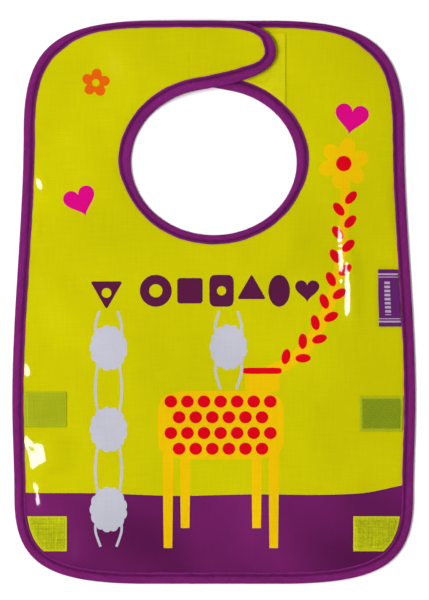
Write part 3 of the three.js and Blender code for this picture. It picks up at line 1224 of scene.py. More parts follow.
def keep_edges_crisp(piece: bpy.types.Object) -> None:
    """Marks a sheet's open edges sharp, so that its cut sides don't bend its shading.

    Args:
        piece: The sheet.
    """
    mesh = bmesh.new()
    mesh.from_mesh(piece.data)
    for edge in mesh.edges:
        edge.smooth = not edge.is_boundary
    mesh.to_mesh(piece.data)
    mesh.free()


@dataclass
class Sheet(OnBib):
    """The layers of cloth: how they are cut, laid and dressed.

    Attributes:
        grid: From one point inside to the next.
        bend_rows: From one row to the next at a bend.
        fold_rows: Rows on each side of the pocket's fold.
        strap_columns: Columns on each side of the strap's bend.
        past_middle: Columns of the grid that reach past the middle, into the strap.
        strap_from: Row of the grid where the strap's columns start.
        edge_clear: How far the points inside keep from the edge.
    """

    grid: float = 2.8 * MM
    bend_rows: float = 0.4 * MM
    fold_rows: int = 8
    strap_columns: int = 7
    past_middle: int = 20
    strap_from: int = 52
    edge_clear: float = 0.5 * MM

    def plan(self, left: bool, shapes: Sequence[tuple[Ink, Points]],
             keep: Callable[[Points], np.ndarray]) -> tuple[Points, np.ndarray, list[Ink]]:
        """Cuts one half into triangles along its outline and its print.

        Args:
            left: Whether it is the left half.
            shapes: Printed shapes.
            keep: Tells which plan points belong to the piece.

        Returns:
            Plan points, triangles and each triangle's ink.
        """
        edge = self.outline.half(self.levels.edge_inset, left)
        edge = np.concatenate([edge[:-1:2], edge[-1:]])
        half_x, half_y = self.outline.width / 2, self.outline.length / 2
        nx, ny = int(half_x / self.grid), int(half_y / self.grid)
        side = -1 if left else 1
        points = [lattice(np.arange(-self.past_middle, nx + 1) * self.grid * side,
                          np.arange(-ny, ny + 1) * self.grid)]
        rows = FOLD_AT.y + np.arange(-self.fold_rows, self.fold_rows + 1) * self.bend_rows
        points.append(lattice(np.arange(0, nx + 1) * self.grid * side, rows))
        if left:
            columns = np.arange(-self.strap_columns, self.strap_columns + 1) * self.bend_rows
            points.append(lattice(STRAP_AT.x + columns,
                                  np.arange(self.strap_from, ny + 1) * self.grid))
        free = np.concatenate(points)
        near = inside(free, edge) & (distance_to(free, edge, closed=True) > self.edge_clear)
        near |= np.abs(free[:, 0]) < 1e-9
        free = free[near & (np.abs(free[:, 1]) < half_y)]
        verts = [Vector(p) for p in np.concatenate([edge, free])]
        faces = [list(range(len(edge)))]
        for _, shape in shapes:
            faces.append(list(range(len(verts), len(verts) + len(shape))))
            verts.extend(Vector(p) for p in shape)
        cut = len(verts)
        verts += [Vector((STRAP_SPLIT, half_y * 0.6)), Vector((STRAP_SPLIT, half_y * 1.1))]
        lines = [(cut, cut + 1)] if left else []
        out, _, triangles, _, _, owners = delaunay_2d_cdt(verts, lines, faces, 1, 1e-8, True)
        plan = np.array([p[:] for p in out])
        pairs = [(t, o) for t, o in zip(triangles, owners) if 0 in o]
        tris = np.array([t for t, _ in pairs])
        inks = [shapes[max(o) - 1][0] if max(o) else Ink.LIME for _, o in pairs]
        kept = keep(plan[tris].mean(1))
        return plan, tris[kept], [ink for ink, k in zip(inks, kept) if k]

    def build(self, name: str, top: float, thickness: float, strap: bool,
              shapes: Sequence[tuple[Ink, Points]] = ()) -> bpy.types.Object:
        """Makes one piece of cloth.

        Args:
            name: The piece's name.
            top: Height of its upper face where it is flat.
            thickness: Of the cloth.
            strap: Whether it is the upper strap or all the rest.
            shapes: Printed shapes.

        Returns:
            The object, with its thickness as a Solidify modifier.
        """
        def on_strap(p: Points) -> np.ndarray:
            """Which plan points belong to the upper strap."""
            return (p[:, 0] > STRAP_SPLIT) & (p[:, 1] > self.outline.neck_middle)

        halves = [(True, on_strap)] if strap else [
            (False, lambda p: np.ones(len(p), bool)), (True, lambda p: ~on_strap(p))]
        verts, flats, faces, inks = [], [], [], []
        start = 0
        for left, keep in halves:
            plan, tris, ink = self.plan(left, shapes, keep)
            used, numbers = np.unique(tris, return_inverse=True)
            plan = plan[used]
            lift = self.drape.lift(plan) + (self.drape.rise(plan) if left else 0)
            verts.append(np.column_stack([plan, top + lift]))
            flats.append(plan)
            faces.append(numbers.reshape(-1, 3) + start)
            inks += ink
            start += len(plan)
        piece = new_piece(name, np.concatenate(verts), np.concatenate(faces))
        plan_uv(piece, np.concatenate(flats))
        if shapes:
            self.paint(piece, inks)
        self.weld(piece)
        keep_edges_crisp(piece)
        thicken(piece, thickness)
        return piece

    @staticmethod
    def paint(piece: bpy.types.Object, inks: Sequence[Ink]) -> None:
        """Stores each face's ink as a colour at its corners.

        Args:
            piece: The cloth.
            inks: One ink per face.
        """
        layer = piece.data.color_attributes.new("Ink", "FLOAT_COLOR", "CORNER")
        colours = np.repeat(np.array([(*ink.value, 1.0) for ink in inks]), 3, axis=0)
        corners = np.zeros(len(piece.data.loops), int)
        piece.data.loops.foreach_get("vertex_index", corners)
        places = np.array([v.co[:2] for v in piece.data.vertices])[corners]
        swing = np.repeat([0.30 if ink is Ink.PLUM else 0.05 for ink in inks], 3)
        colours[:, :3] *= (1 + swing * uneven(places))[:, None]
        layer.data.foreach_set("color", colours.astype(np.float32).ravel())

    @staticmethod
    def weld(piece: bpy.types.Object) -> None:
        """Joins the two halves along the middle.

        Args:
            piece: The cloth.
        """
        mesh = bmesh.new()
        mesh.from_mesh(piece.data)
        seam = [v for v in mesh.verts if abs(v.co.x) < 1e-6]
        bmesh.ops.remove_doubles(mesh, verts=seam, dist=1e-6)
        mesh.to_mesh(piece.data)
        mesh.free()

    def lay(self, pattern: Print) -> None:
        """Lays the printed front and its backing, each with its upper strap as a separate piece.

        Args:
            pattern: The print.
        """
        levels, dress = self.levels, self.wardrobe.dress
        area = 0.5 * abs(twice_area(self.outline.half(levels.edge_inset)))
        front = self.build("printed_cloth", levels.panel_top, levels.panel, False, pattern.shapes)
        front_strap = self.build("printed_cloth_strap", levels.panel_top, levels.panel, True,
                                 pattern.shapes)
        back = self.build("backing_cloth", levels.backing_top, levels.backing, False)
        back_strap = self.build("backing_cloth_strap", levels.backing_top, levels.backing, True)
        dress(front, PRINTED)
        dress(front_strap, PRINTED)
        dress(back, BACKING)
        dress(back_strap, BACKING)
        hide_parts("front_panel", "front_panel_pocket")
        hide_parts("front_panel_strap")
        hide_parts("backing", "backing_pocket")
        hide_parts("backing_strap")
        for piece, below in ((front, "backing_cloth"), (back, "edge_tape")):
            POCKET_BEND.across(piece)
        for piece, below in ((front_strap, "backing_cloth_strap"),
                             (back_strap, "closure_hooks")):
            STRAP_BEND.across(piece)


# ---- Thread ----


def pick(piece: bpy.types.Object, test: Callable[[Vector], bool]) -> None:
    """Selects, in edit mode, only the vertices whose place passes a test.

    Args:
        piece: The object being edited.
        test: Tells whether a place passes.
    """
    mesh = bmesh.from_edit_mesh(piece.data)
    for vertex in mesh.verts:
        vertex.select_set(False)
    for vertex in mesh.verts:
        vertex.select_set(bool(test(vertex.co)))
    mesh.select_flush_mode()
    bmesh.update_edit_mesh(piece.data)


def edit(piece: bpy.types.Object) -> None:
    """Starts editing one object's vertices, with all of them selected."""
    activate(piece)
    bpy.ops.object.mode_set(mode="EDIT")
    bpy.ops.mesh.select_mode(type="VERT")
    bpy.ops.mesh.select_all(action="SELECT")


def model_stitch() -> Template:
    """One stitch of thread, in millimetres along X, whose ends go down into the cloth.

    Returns:
        Its vertices and faces, in metres.
    """
    dip, swell = 0.34, 1.12
    deselect()
    bpy.ops.mesh.primitive_cylinder_add(vertices=6, radius=0.21, depth=2.5,
                                        rotation=(0, math.pi / 2, 0))
    piece = bpy.context.active_object
    bpy.ops.object.transform_apply(location=False, rotation=True, scale=False)
    edit(piece)
    for cut in (-0.85, 0.0, 0.85):
        bpy.ops.mesh.select_all(action="SELECT")
        bpy.ops.mesh.bisect(plane_co=(cut, 0, 0), plane_no=(1, 0, 0))
    pick(piece, lambda co: abs(co.x) > 1.0)
    bpy.ops.transform.translate(value=(0, 0, -dip))
    pick(piece, lambda co: abs(co.x) < 0.1)
    bpy.ops.transform.resize(value=(1, swell, swell))
    bpy.ops.object.mode_set(mode="OBJECT")
    return template_of(piece)


def model_hook() -> Template:
    """One nylon hook in millimetres: a stem that curls over towards +X.

    Returns:
        Its vertices and faces, in metres.
    """
    deselect()
    bpy.ops.mesh.primitive_circle_add(vertices=5, radius=0.13, fill_type="NGON")
    piece = bpy.context.active_object
    edit(piece)
    bpy.ops.mesh.extrude_region_move(TRANSFORM_OT_translate={"value": (0, 0, 0.42)})
    bpy.ops.mesh.spin(steps=4, angle=-2.7, center=(0.30, 0, 0.42), axis=(0, -1, 0))
    bpy.ops.object.mode_set(mode="OBJECT")
    return template_of(piece)


def model_loop() -> Template:
    """One loop of nap in millimetres, standing over the origin in the XZ plane.

    Returns:
        Its vertices and faces, in metres.
    """
    deselect()
    bpy.ops.mesh.primitive_circle_add(vertices=4, radius=0.075, fill_type="NOTHING",
                                      location=(0.36, 0, 0))
    piece = bpy.context.active_object
    bpy.ops.object.transform_apply(location=True, rotation=False, scale=False)
    edit(piece)
    bpy.ops.mesh.spin(steps=6, angle=math.pi, center=(0, 0, 0), axis=(0, 1, 0))
    bpy.ops.object.mode_set(mode="OBJECT")
    verts, faces = template_of(piece)
    verts[:, 2] = np.abs(verts[:, 2]) * 1.15
    return verts, faces


def stitch_places(line: Points, pitch: float, height: Callable[[Points], np.ndarray],
                  up: float = 1.0) -> tuple[Points, Points]:
    """Where stitches go along a line.

    Args:
        line: The seam in plan.
        pitch: From one stitch to the next.
        height: Gives the thread's height at plan points.
        up: 1 for stitches that face up, -1 for those underneath.

    Returns:
        The middle of each stitch, and its X, Y and Z axes as rows.
    """
    line = even(line, pitch)
    spots = np.column_stack([line, height(line)])
    along = np.diff(spots, axis=0)
    along /= np.linalg.norm(along, axis=1)[:, None]
    side = np.cross(np.array([0, 0, up]), along)
    side /= np.linalg.norm(side, axis=1)[:, None]
    axes = np.stack([along, side, np.cross(along, side)], axis=1)
    return (spots[:-1] + spots[1:]) / 2, axes


# ---- The binding ----


@dataclass
class Binding(OnBib):
    """The folded bias tape round the whole edge, and the seam that holds it.

    Attributes:
        wall: Thickness of the tape's folded edge, above and below the cloth.
        side_width: Of the tape along the sides, hem and strap tips.
        top_width: Of the tape along the top.
        ring_width: Of the tape round the upper part of the neck opening.
        ring_low_width: Of the tape round the lower part of the neck opening.
        lip: From the tape's inner edge to the seam.
        groove: How deep the seam pulls the tape in.
        groove_half: Half the groove's width.
        colour: Linear colour of the tape.
        painted_groove_shade: How light the groove is, against the rest of the tape: painted shade in the
            seam's groove.
        painted_lip_highlight: How light the tape's inner lip is, in the same way: a painted highlight
            along the lip.
        pitch: From one stitch to the next.
        waver: How far the tape's inner edge strays.
        wrinkle: Height of the slanting wrinkles that bias tape gets.
    """

    wall: float = 0.6 * MM
    side_width: float = 7.9 * MM
    top_width: float = 5.1 * MM
    ring_width: float = 8.9 * MM
    ring_low_width: float = 6.6 * MM
    lip: float = 1.9 * MM
    groove: float = 0.5 * MM
    groove_half: float = 1.05 * MM
    colour: tuple[float, float, float] = (0.168, 0.0115, 0.130)
    painted_groove_shade: float = 0.50
    painted_lip_highlight: float = 1.35
    pitch: float = 3.1 * MM
    waver: float = 0.16 * MM
    wrinkle: float = 0.15 * MM

    def section(self) -> Points:
        """The tape's section as a closed loop.

        Returns:
            For each point, its distance in from the edge and its height.
        """
        wide, high = self.levels.binding_width / MM, self.levels.binding_top / MM
        wall, seam = self.wall / MM, wide - self.lip / MM
        top = [(wide, high - 0.42), (wide - 0.12, high - 0.16), (wide - 0.4, high + 0.02),
               (seam + 1.0, high + 0.02), (seam + 0.5, high), (seam, high), (seam - 0.5, high),
               (seam - 1.1, high), (seam - 1.8, high + 0.1), (seam - 2.8, high + 0.2),
               (2.2, high + 0.12), (1.1, high - 0.12), (0.4, high - 0.46), (0.08, high - 0.85),
               (0.0, high / 2)]
        under = [(s, max(0.0, high - z)) for s, z in top[-2::-1]]
        slot = [(wide - 0.3, wall), (1.3, wall), (0.9, high / 2), (1.3, high - wall),
                (wide - 0.3, high - wall)]
        return np.array(top + under + slot) * MM

    @staticmethod
    def stray(along: np.ndarray) -> np.ndarray:
        """An uneven wave between about -1 and 1 along the tape."""
        return (0.45 * np.sin(along / (3.1 * MM) + 1.3) + 0.35 * np.sin(along / (7.7 * MM))
                + 0.3 * np.sin(along / (1.7 * MM) + 2.0))

    def run(self, name: str, edge: Points, along: np.ndarray, inward: Points,
            left: np.ndarray) -> bpy.types.Object:
        """Sweeps the tape along part of the edge.

        Args:
            name: The piece's name.
            edge: Plan points of the edge.
            along: How far along the tape each one is.
            inward: Unit direction into the cloth at each one.
            left: Whether each is on the left half, which lies on the other at the straps.

        Returns:
            The tape.
        """
        section = self.section()
        count = len(section)
        s, z = section[:, 0][None, :], section[:, 1][None, :]
        a = along[:, None]
        seam = self.levels.binding_width - self.lip
        free = smoothstep((s - seam + 1 * MM) / (3 * MM))
        narrow = self.levels.binding_width - self.width_at(edge)[:, None]
        s_here = s - narrow * smoothstep(s / seam) + self.waver * self.stray(a) * free
        middle = self.levels.binding_top / 2
        outer = np.arange(count) < count - 5
        upper = np.where(z > middle + 0.1 * MM, 1.0, np.where(z < middle - 0.1 * MM, -1.0, 0.0))
        upper = upper * outer
        phase = 0.72 + 0.28 * np.cos(2 * math.pi * a / self.pitch)
        trough = np.exp(-((s - seam + 0.25 * MM) / self.groove_half) ** 2)
        dent = self.groove * phase * trough
        body = smoothstep(s / (2.5 * MM)) * smoothstep((seam - s) / (2 * MM))
        slant = np.sin((a + 0.9 * s) / (0.95 * MM) + 2.2 * np.sin(a / (9 * MM)))
        calm = 0.55 + 0.45 * np.sin(a / (13 * MM) + 0.7)
        puff = self.wrinkle * (slant * calm + 0.5 * self.stray(a * 0.7)) * (body + 0.35 * free)
        z_here = z + upper * (np.where(upper > 0, puff, 0.0) - dent)
        plan = (edge[:, None, :] + inward[:, None, :] * s_here[..., None]).reshape(-1, 2)
        high = np.broadcast_to(z_here, s_here.shape).reshape(-1).copy()
        on_left = np.repeat(left, count)
        high[on_left] += self.drape.rise(plan[on_left])
        rows = np.arange(len(edge) - 1)[:, None] * count
        k = np.arange(count)[None, :]
        k2 = (k + 1) % count
        faces = np.stack([rows + k, rows + k2, rows + k2 + count, rows + k + count], axis=-1)
        ends = [list(range(count))[::-1], list(range(len(high) - count, len(high)))]
        piece = new_piece(name, np.column_stack([plan, high]), faces.reshape(-1, 4).tolist() + ends)
        around = np.concatenate([[0], np.cumsum(np.linalg.norm(np.diff(section, axis=0), axis=1))])
        u = np.broadcast_to(a, s_here.shape).reshape(-1)
        v = np.broadcast_to(around[None, :], s_here.shape).reshape(-1)
        plan_uv(piece, np.stack([u + v, u - v], axis=1) / math.sqrt(2))
        facing_out(piece)
        # Painted shade darkens the seam's groove and a painted highlight lightens the inner lip, both
        # stored in the Ink colour; the slow stray wave on top is random tone.
        lip = smoothstep((s - seam - 1.1 * MM) / (0.5 * MM)) * outer
        tone = (1 - (1 - self.painted_groove_shade) * trough) * (1 + (self.painted_lip_highlight - 1) * lip)
        tone = (tone * (1 + 0.10 * self.stray(a * 0.6 + s * 3))).reshape(-1, 1)
        tones = np.column_stack([tone * np.array(self.colour), np.ones(len(tone))])
        layer = piece.data.color_attributes.new("Ink", "FLOAT_COLOR", "POINT")
        layer.data.foreach_set("color", tones.astype(np.float32).ravel())
        return self.wardrobe.dress(piece, TAPE)

    def width_at(self, points: Points) -> np.ndarray:
        """The tape's width.

        Args:
            points: Plan points of the edge, one per row.

        Returns:
            One width per point.
        """
        top = smoothstep((points[:, 1] - self.outline.length / 2 + 16 * MM) / (14 * MM))
        wide = self.side_width + (self.top_width - self.side_width) * top
        away = points - np.array([0, self.outline.neck_middle])
        ring = 1 - smoothstep((np.linalg.norm(away, axis=1) - 60 * MM) / (16 * MM))
        low = smoothstep((5 * MM - away[:, 1]) / (30 * MM))
        round_neck = self.ring_width + (self.ring_low_width - self.ring_width) * low
        return wide + (round_neck - wide) * ring

    def build(self, stitch: Template) -> None:
        """Makes the tape and its stitches, each as the body's piece and the upper strap's.

        Args:
            stitch: The modelled stitch.
        """
        edge = self.outline.whole(0.0)
        ahead = np.roll(edge, -1, axis=0) - np.roll(edge, 1, axis=0)
        ahead /= np.linalg.norm(ahead, axis=1)[:, None]
        inward = left_of(ahead)
        gaps = np.linalg.norm(np.diff(edge, axis=0), axis=1)
        along = np.concatenate([[0], np.cumsum(gaps)])
        left = np.arange(len(edge)) >= len(self.outline.right)
        strap = np.flatnonzero(self.on_strap(edge, left))
        strap_run = np.arange(strap[0], strap[-1] + 1)
        body_run = np.arange(strap[-1], strap[0] + len(edge) + 1) % len(edge)
        tapes = []
        for name, run in (("edge_tape", body_run), ("edge_tape_strap", strap_run)):
            tapes.append(self.run(name, edge[run], along[run], inward[run], left[run]))
        seams = self.seam(stitch)
        for piece in (tapes[0], seams[0]):
            POCKET_BEND.across(piece)
        for piece in (tapes[1], seams[1]):
            STRAP_BEND.across(piece)
        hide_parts("edge_binding_left", "edge_binding_right", "neck_binding",
                    "edge_binding_pocket")
        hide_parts("edge_binding_strap")
        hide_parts("topstitch_left", "topstitch_neck_and_right", "topstitch_pocket")
        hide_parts("topstitch_strap")

    def on_strap(self, points: Points, left: np.ndarray) -> np.ndarray:
        """Which plan points belong to the upper strap's piece."""
        return left & (points[:, 0] > STRAP_SPLIT) & (points[:, 1] > self.outline.neck_middle)

    def seam(self, stitch: Template) -> list[bpy.types.Object]:
        """Lays the seam's stitches on both faces of the tape.

        Args:
            stitch: The modelled stitch.

        Returns:
            The body's stitches and the upper strap's.
        """
        top = self.levels.binding_top - 0.75 * self.groove
        under = 0.6 * self.groove
        places, axes, owners = [], [], []
        for left in (False, True):
            edge = self.outline.half(0.0, left)
            run = directions(edge)
            into = left_of(run)
            line = edge + into * (self.width_at(edge) - self.lip)[:, None]
            for level, up in ((top, 1.0), (under, -1.0)):
                def height(p: Points, level: float = level, left: bool = left) -> np.ndarray:
                    """The thread's height at plan points."""
                    return level + (self.drape.rise(p) if left else np.zeros(len(p)))

                spots, turned = stitch_places(line, self.pitch, height, up)
                places.append(spots)
                axes.append(turned)
                owners.append(self.on_strap(spots, np.full(len(spots), left)))
        spots, turned, strap = (np.concatenate(x) for x in (places, axes, owners))
        seams = []
        for name, chosen in (("edge_stitches", ~strap), ("edge_stitches_strap", strap)):
            seams.append(repeat(stitch, spots[chosen], turned[chosen], name))
            self.wardrobe.dress(seams[-1], THREAD)
        return seams


# ---- Hook-and-loop patches ----


class Pile(Enum):
    """What stands on a patch."""

    HOOKS = "hooks"
    LOOPS = "loops"


@dataclass(frozen=True)
class Patch:
    """One patch of hook or loop tape.

    Attributes:
        name: Its name.
        node: The CAD node that it stands for.
        body: The body that it rides on.
        left: Whether it is sewn to the left half of the bib.
        pile: What stands on it.
        tape: Finish of its woven border.
        ground: Finish of the tape between its hooks or loops.
        tuft: Finish of its hooks or loops.
        thread: Finish of its stitches.
        turn: Angle of its rows, in radians.
        density: Loops to a square millimetre.
        down: Whether it faces down.
        nap: How far its middle stands above its woven border.
        seam: From its edge in to its stitches.
    """

    name: str
    node: str
    body: str
    left: bool
    pile: Pile
    tape: Finish
    ground: Finish
    tuft: Finish
    thread: Finish
    turn: float = 0.0
    density: float = 1.3
    down: bool = False
    nap: float = 0.18 * MM
    seam: float = 1.5 * MM


PATCHES = (
    Patch("hook_pad_left", "pocket_hook_pad_left", "bib", True, Pile.HOOKS, HOOK_TAPE,
          HOOK_TAPE, HOOKS, LIME_THREAD, turn=math.pi / 2),
    Patch("hook_pad_right", "pocket_hook_pad_right", "bib", False, Pile.HOOKS, HOOK_TAPE,
          HOOK_TAPE_DARK, HOOKS_DARK, LIME_THREAD, turn=0.7),
    Patch("loop_pad_left", "pocket_loop_pad_left", "pocket_flap", True, Pile.LOOPS, LOOP_TAPE,
          NAP, LOOPS, LIME_THREAD, nap=0.3 * MM),
    Patch("loop_pad_right", "pocket_loop_pad_right", "pocket_flap", False, Pile.LOOPS,
          LOOP_TAPE, NAP, LOOPS, LIME_THREAD, nap=0.3 * MM),
    Patch("closure_loops", "closure_loop_patch", "bib", False, Pile.LOOPS, CLOSURE_LOOP,
          CLOSURE_LOOP, CLOSURE_NAP, CLOSURE_THREAD, density=0.3, nap=0.0, seam=0.5 * MM),
    Patch("closure_hooks", "closure_hook_patch", "neck_strap", True, Pile.HOOKS, HOOK_TAPE,
          HOOK_TAPE, HOOKS, LIME_THREAD, down=True),
)


def clipped(polygon: Points, low: Sequence[float], high: Sequence[float]) -> Points:
    """The part of a polygon inside a box.

    Args:
        polygon: Its plan points.
        low: The box's lowest X and Y.
        high: The box's highest X and Y.

    Returns:
        The clipped polygon.
    """
    points = [tuple(p) for p in polygon]
    for axis, limit, sign in ((0, low[0], 1), (1, low[1], 1), (0, high[0], -1), (1, high[1], -1)):
        out: list[tuple[float, float]] = []
        for a, b in zip(points, points[1:] + points[:1]):
            in_a, in_b = sign * (a[axis] - limit) >= 0, sign * (b[axis] - limit) >= 0
            if in_a:
                out.append(a)
            if in_a != in_b:
                t = (limit - a[axis]) / (b[axis] - a[axis])
                out.append((a[0] + t * (b[0] - a[0]), a[1] + t * (b[1] - a[1])))
        points = out
    return np.array(points)


@dataclass
class PatchMaker(OnBib):
    """Sews the hook and loop patches on.

    Attributes:
        gap: Between a patch and the binding beside it.
        tape: Thickness of the woven tape.
        border: Width of the woven border round the pile.
        grid: How finely the tape is cut.
        hook_rows: From one hook to the next in a row, and between rows.
        stray: How far a hook is from its place, in millimetres.
        twist: How far it is turned, in radians.
        hook_lean: How far hooks lean, in radians.
        loop_lean: How far loops lean.
        rooted: How deep hooks and loops start below the tape's face.
        edge_drop: How far the tape's edge rounds down.
        seam_pull: How far its stitches pull it in.
    """

    gap: float = 0.2 * MM
    tape: float = 0.55 * MM
    border: float = 2.1 * MM
    grid: float = 0.62 * MM
    hook_rows: tuple[float, float] = (1.05 * MM, 1.45 * MM)
    stray: float = 0.07
    twist: float = 0.35
    hook_lean: float = 0.2
    loop_lean: float = 0.9
    rooted: float = 0.06 * MM
    edge_drop: float = 0.14 * MM
    seam_pull: float = 0.2 * MM

    def shape(self, patch: Patch, inset: float) -> Points:
        """A patch's outline, or a line inside it.

        Args:
            patch: The patch.
            inset: How far inside its edge.

        Returns:
            The closed polygon.
        """
        low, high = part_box(patch.node)
        half = self.outline.half(self.levels.binding_width + self.gap + inset, patch.left)
        return clipped(half, (low.x + inset, low.y + inset), (high.x - inset, high.y - inset))

    def face(self, patch: Patch, points: Points, depth: np.ndarray) -> np.ndarray:
        """The height of a patch's outer face.

        Args:
            patch: The patch.
            points: Plan points.
            depth: How far each is inside the patch's edge.

        Returns:
            One height per point.
        """
        low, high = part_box(patch.node)
        edge = self.edge_drop * np.exp(-depth / (0.35 * MM))
        pull = self.seam_pull * np.exp(-((depth - patch.seam) / (0.5 * MM)) ** 2)
        pile = patch.nap * smoothstep((depth - self.border + 0.6 * MM) / (0.8 * MM))
        thick = self.tape - edge - pull + pile
        base = high.z - thick if patch.down else low.z + thick
        return base + self.drape.lift(points)

    def base(self, patch: Patch) -> bpy.types.Object:
        """Makes the woven tape of a patch.

        Args:
            patch: The patch.

        Returns:
            The tape, with its border and its middle as two materials.
        """
        rim = self.shape(patch, 0.0)
        polygon = even(np.concatenate([rim, rim[:1]]), self.grid)[:-1]
        low, high = polygon.min(0), polygon.max(0)
        free = lattice(np.arange(low[0], high[0], self.grid),
                       np.arange(low[1], high[1], self.grid))
        free = free[inside(free, polygon)]
        free = free[distance_to(free, polygon, closed=True) > 0.3 * self.grid]
        verts = [Vector(p) for p in np.concatenate([polygon, free])]
        border = [list(range(len(polygon)))]
        out, _, tris, _, _, owners = delaunay_2d_cdt(verts, [], border, 1, 1e-8, True)
        plan = np.array([p[:] for p in out])
        tris = np.array([t for t, o in zip(tris, owners) if o])
        depth = distance_to(plan, polygon, closed=True)
        if patch.down:
            tris = tris[:, ::-1]
        piece = new_piece(patch.name, np.column_stack([plan, self.face(patch, plan, depth)]), tris)
        c, s = math.cos(patch.turn), math.sin(patch.turn)
        plan_uv(piece, plan @ np.array([[c, -s], [s, c]]))
        middle = depth[tris].mean(1) > self.border - 0.3 * MM
        self.wardrobe.dress(piece, patch.tape, patch.ground)
        piece.data.polygons.foreach_set("material_index", middle.astype(np.int32))
        thicken(piece, 0.8 * self.tape)
        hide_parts(patch.node)
        return piece

    def tufts(self, patch: Patch, template: Template, draw: random.Random) -> bpy.types.Object:
        """Makes the hooks or loops of a patch.

        Args:
            patch: The patch.
            template: The modelled hook or loop.
            draw: Seeded random numbers.

        Returns:
            All of them as one piece.
        """
        area = self.shape(patch, self.border + 0.4 * MM)
        low, high = area.min(0), area.max(0)
        spots, turns, leans = [], [], []
        if patch.pile is Pile.HOOKS:
            across, down = self.hook_rows
            reach = float(np.hypot(*(high - low))) / 2
            c, s = math.cos(patch.turn), math.sin(patch.turn)
            middle = (low + high) / 2
            for row, v in enumerate(np.arange(-reach, reach, down)):
                for u in np.arange(-reach, reach, across):
                    a = u + across / 2 * (row % 2) + draw.uniform(-self.stray, self.stray) * MM
                    b = v + draw.uniform(-self.stray, self.stray) * MM
                    spots.append((middle[0] + a * c - b * s, middle[1] + a * s + b * c))
                    turns.append(patch.turn + math.pi * (row % 2) + draw.uniform(-self.twist, self.twist))
                    leans.append(draw.uniform(-self.hook_lean, self.hook_lean))
        else:
            total = int(patch.density * (high - low).prod() / MM ** 2)
            for _ in range(total):
                spots.append((draw.uniform(low[0], high[0]), draw.uniform(low[1], high[1])))
                turns.append(draw.uniform(0, 2 * math.pi))
                leans.append(draw.uniform(-self.loop_lean, self.loop_lean))
        spots, turns, leans = np.array(spots), np.array(turns), np.array(leans)
        kept = inside(spots, area)
        spots, turns, leans = spots[kept], turns[kept], leans[kept]
        x = np.stack([np.cos(turns), np.sin(turns), np.zeros(len(turns))], axis=1)
        flat_y = np.stack([-np.sin(turns), np.cos(turns), np.zeros(len(turns))], axis=1)
        up = np.array([0.0, 0.0, -1.0 if patch.down else 1.0])
        z = up[None, :] * np.cos(leans)[:, None] + flat_y * np.sin(leans)[:, None]
        axes = np.stack([x, np.cross(z, x), z], axis=1)
        depth = np.full(len(spots), self.border + 2 * MM)
        sunk = -self.rooted * up[2]
        places = np.column_stack([spots, self.face(patch, spots, depth) + sunk])
        piece = repeat(template, places, axes, f"{patch.name}_{patch.pile.value}")
        return self.wardrobe.dress(piece, patch.tuft)

    def build(self, stitch: Template) -> None:
        """Makes every patch with its pile and its box of stitches.

        Args:
            stitch: The modelled stitch.
        """
        templates = {Pile.HOOKS: model_hook(), Pile.LOOPS: model_loop()}
        draw = random.Random(21)
        for patch in PATCHES:
            tape = self.base(patch)
            tufts = self.tufts(patch, templates[patch.pile], draw)
            line = self.shape(patch, patch.seam)
            line = np.concatenate([line, line[:1]])

            def height(p: Points, patch: Patch = patch) -> np.ndarray:
                """The height of the patch's seam at plan points."""
                return self.face(patch, p, np.full(len(p), patch.seam))

            spots, axes = stitch_places(line, 2.9 * MM, height, -1.0 if patch.down else 1.0)
            seam = repeat(stitch, spots, axes, f"{patch.name}_stitches")
            self.wardrobe.dress(seam, patch.thread)
            for piece in (tape, tufts, seam):
                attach(piece, patch.body)
            log.info("%s: %d tufts", patch.name, len(tufts.data.vertices)
                     // len(templates[patch.pile][0]))


# ---- The side label ----


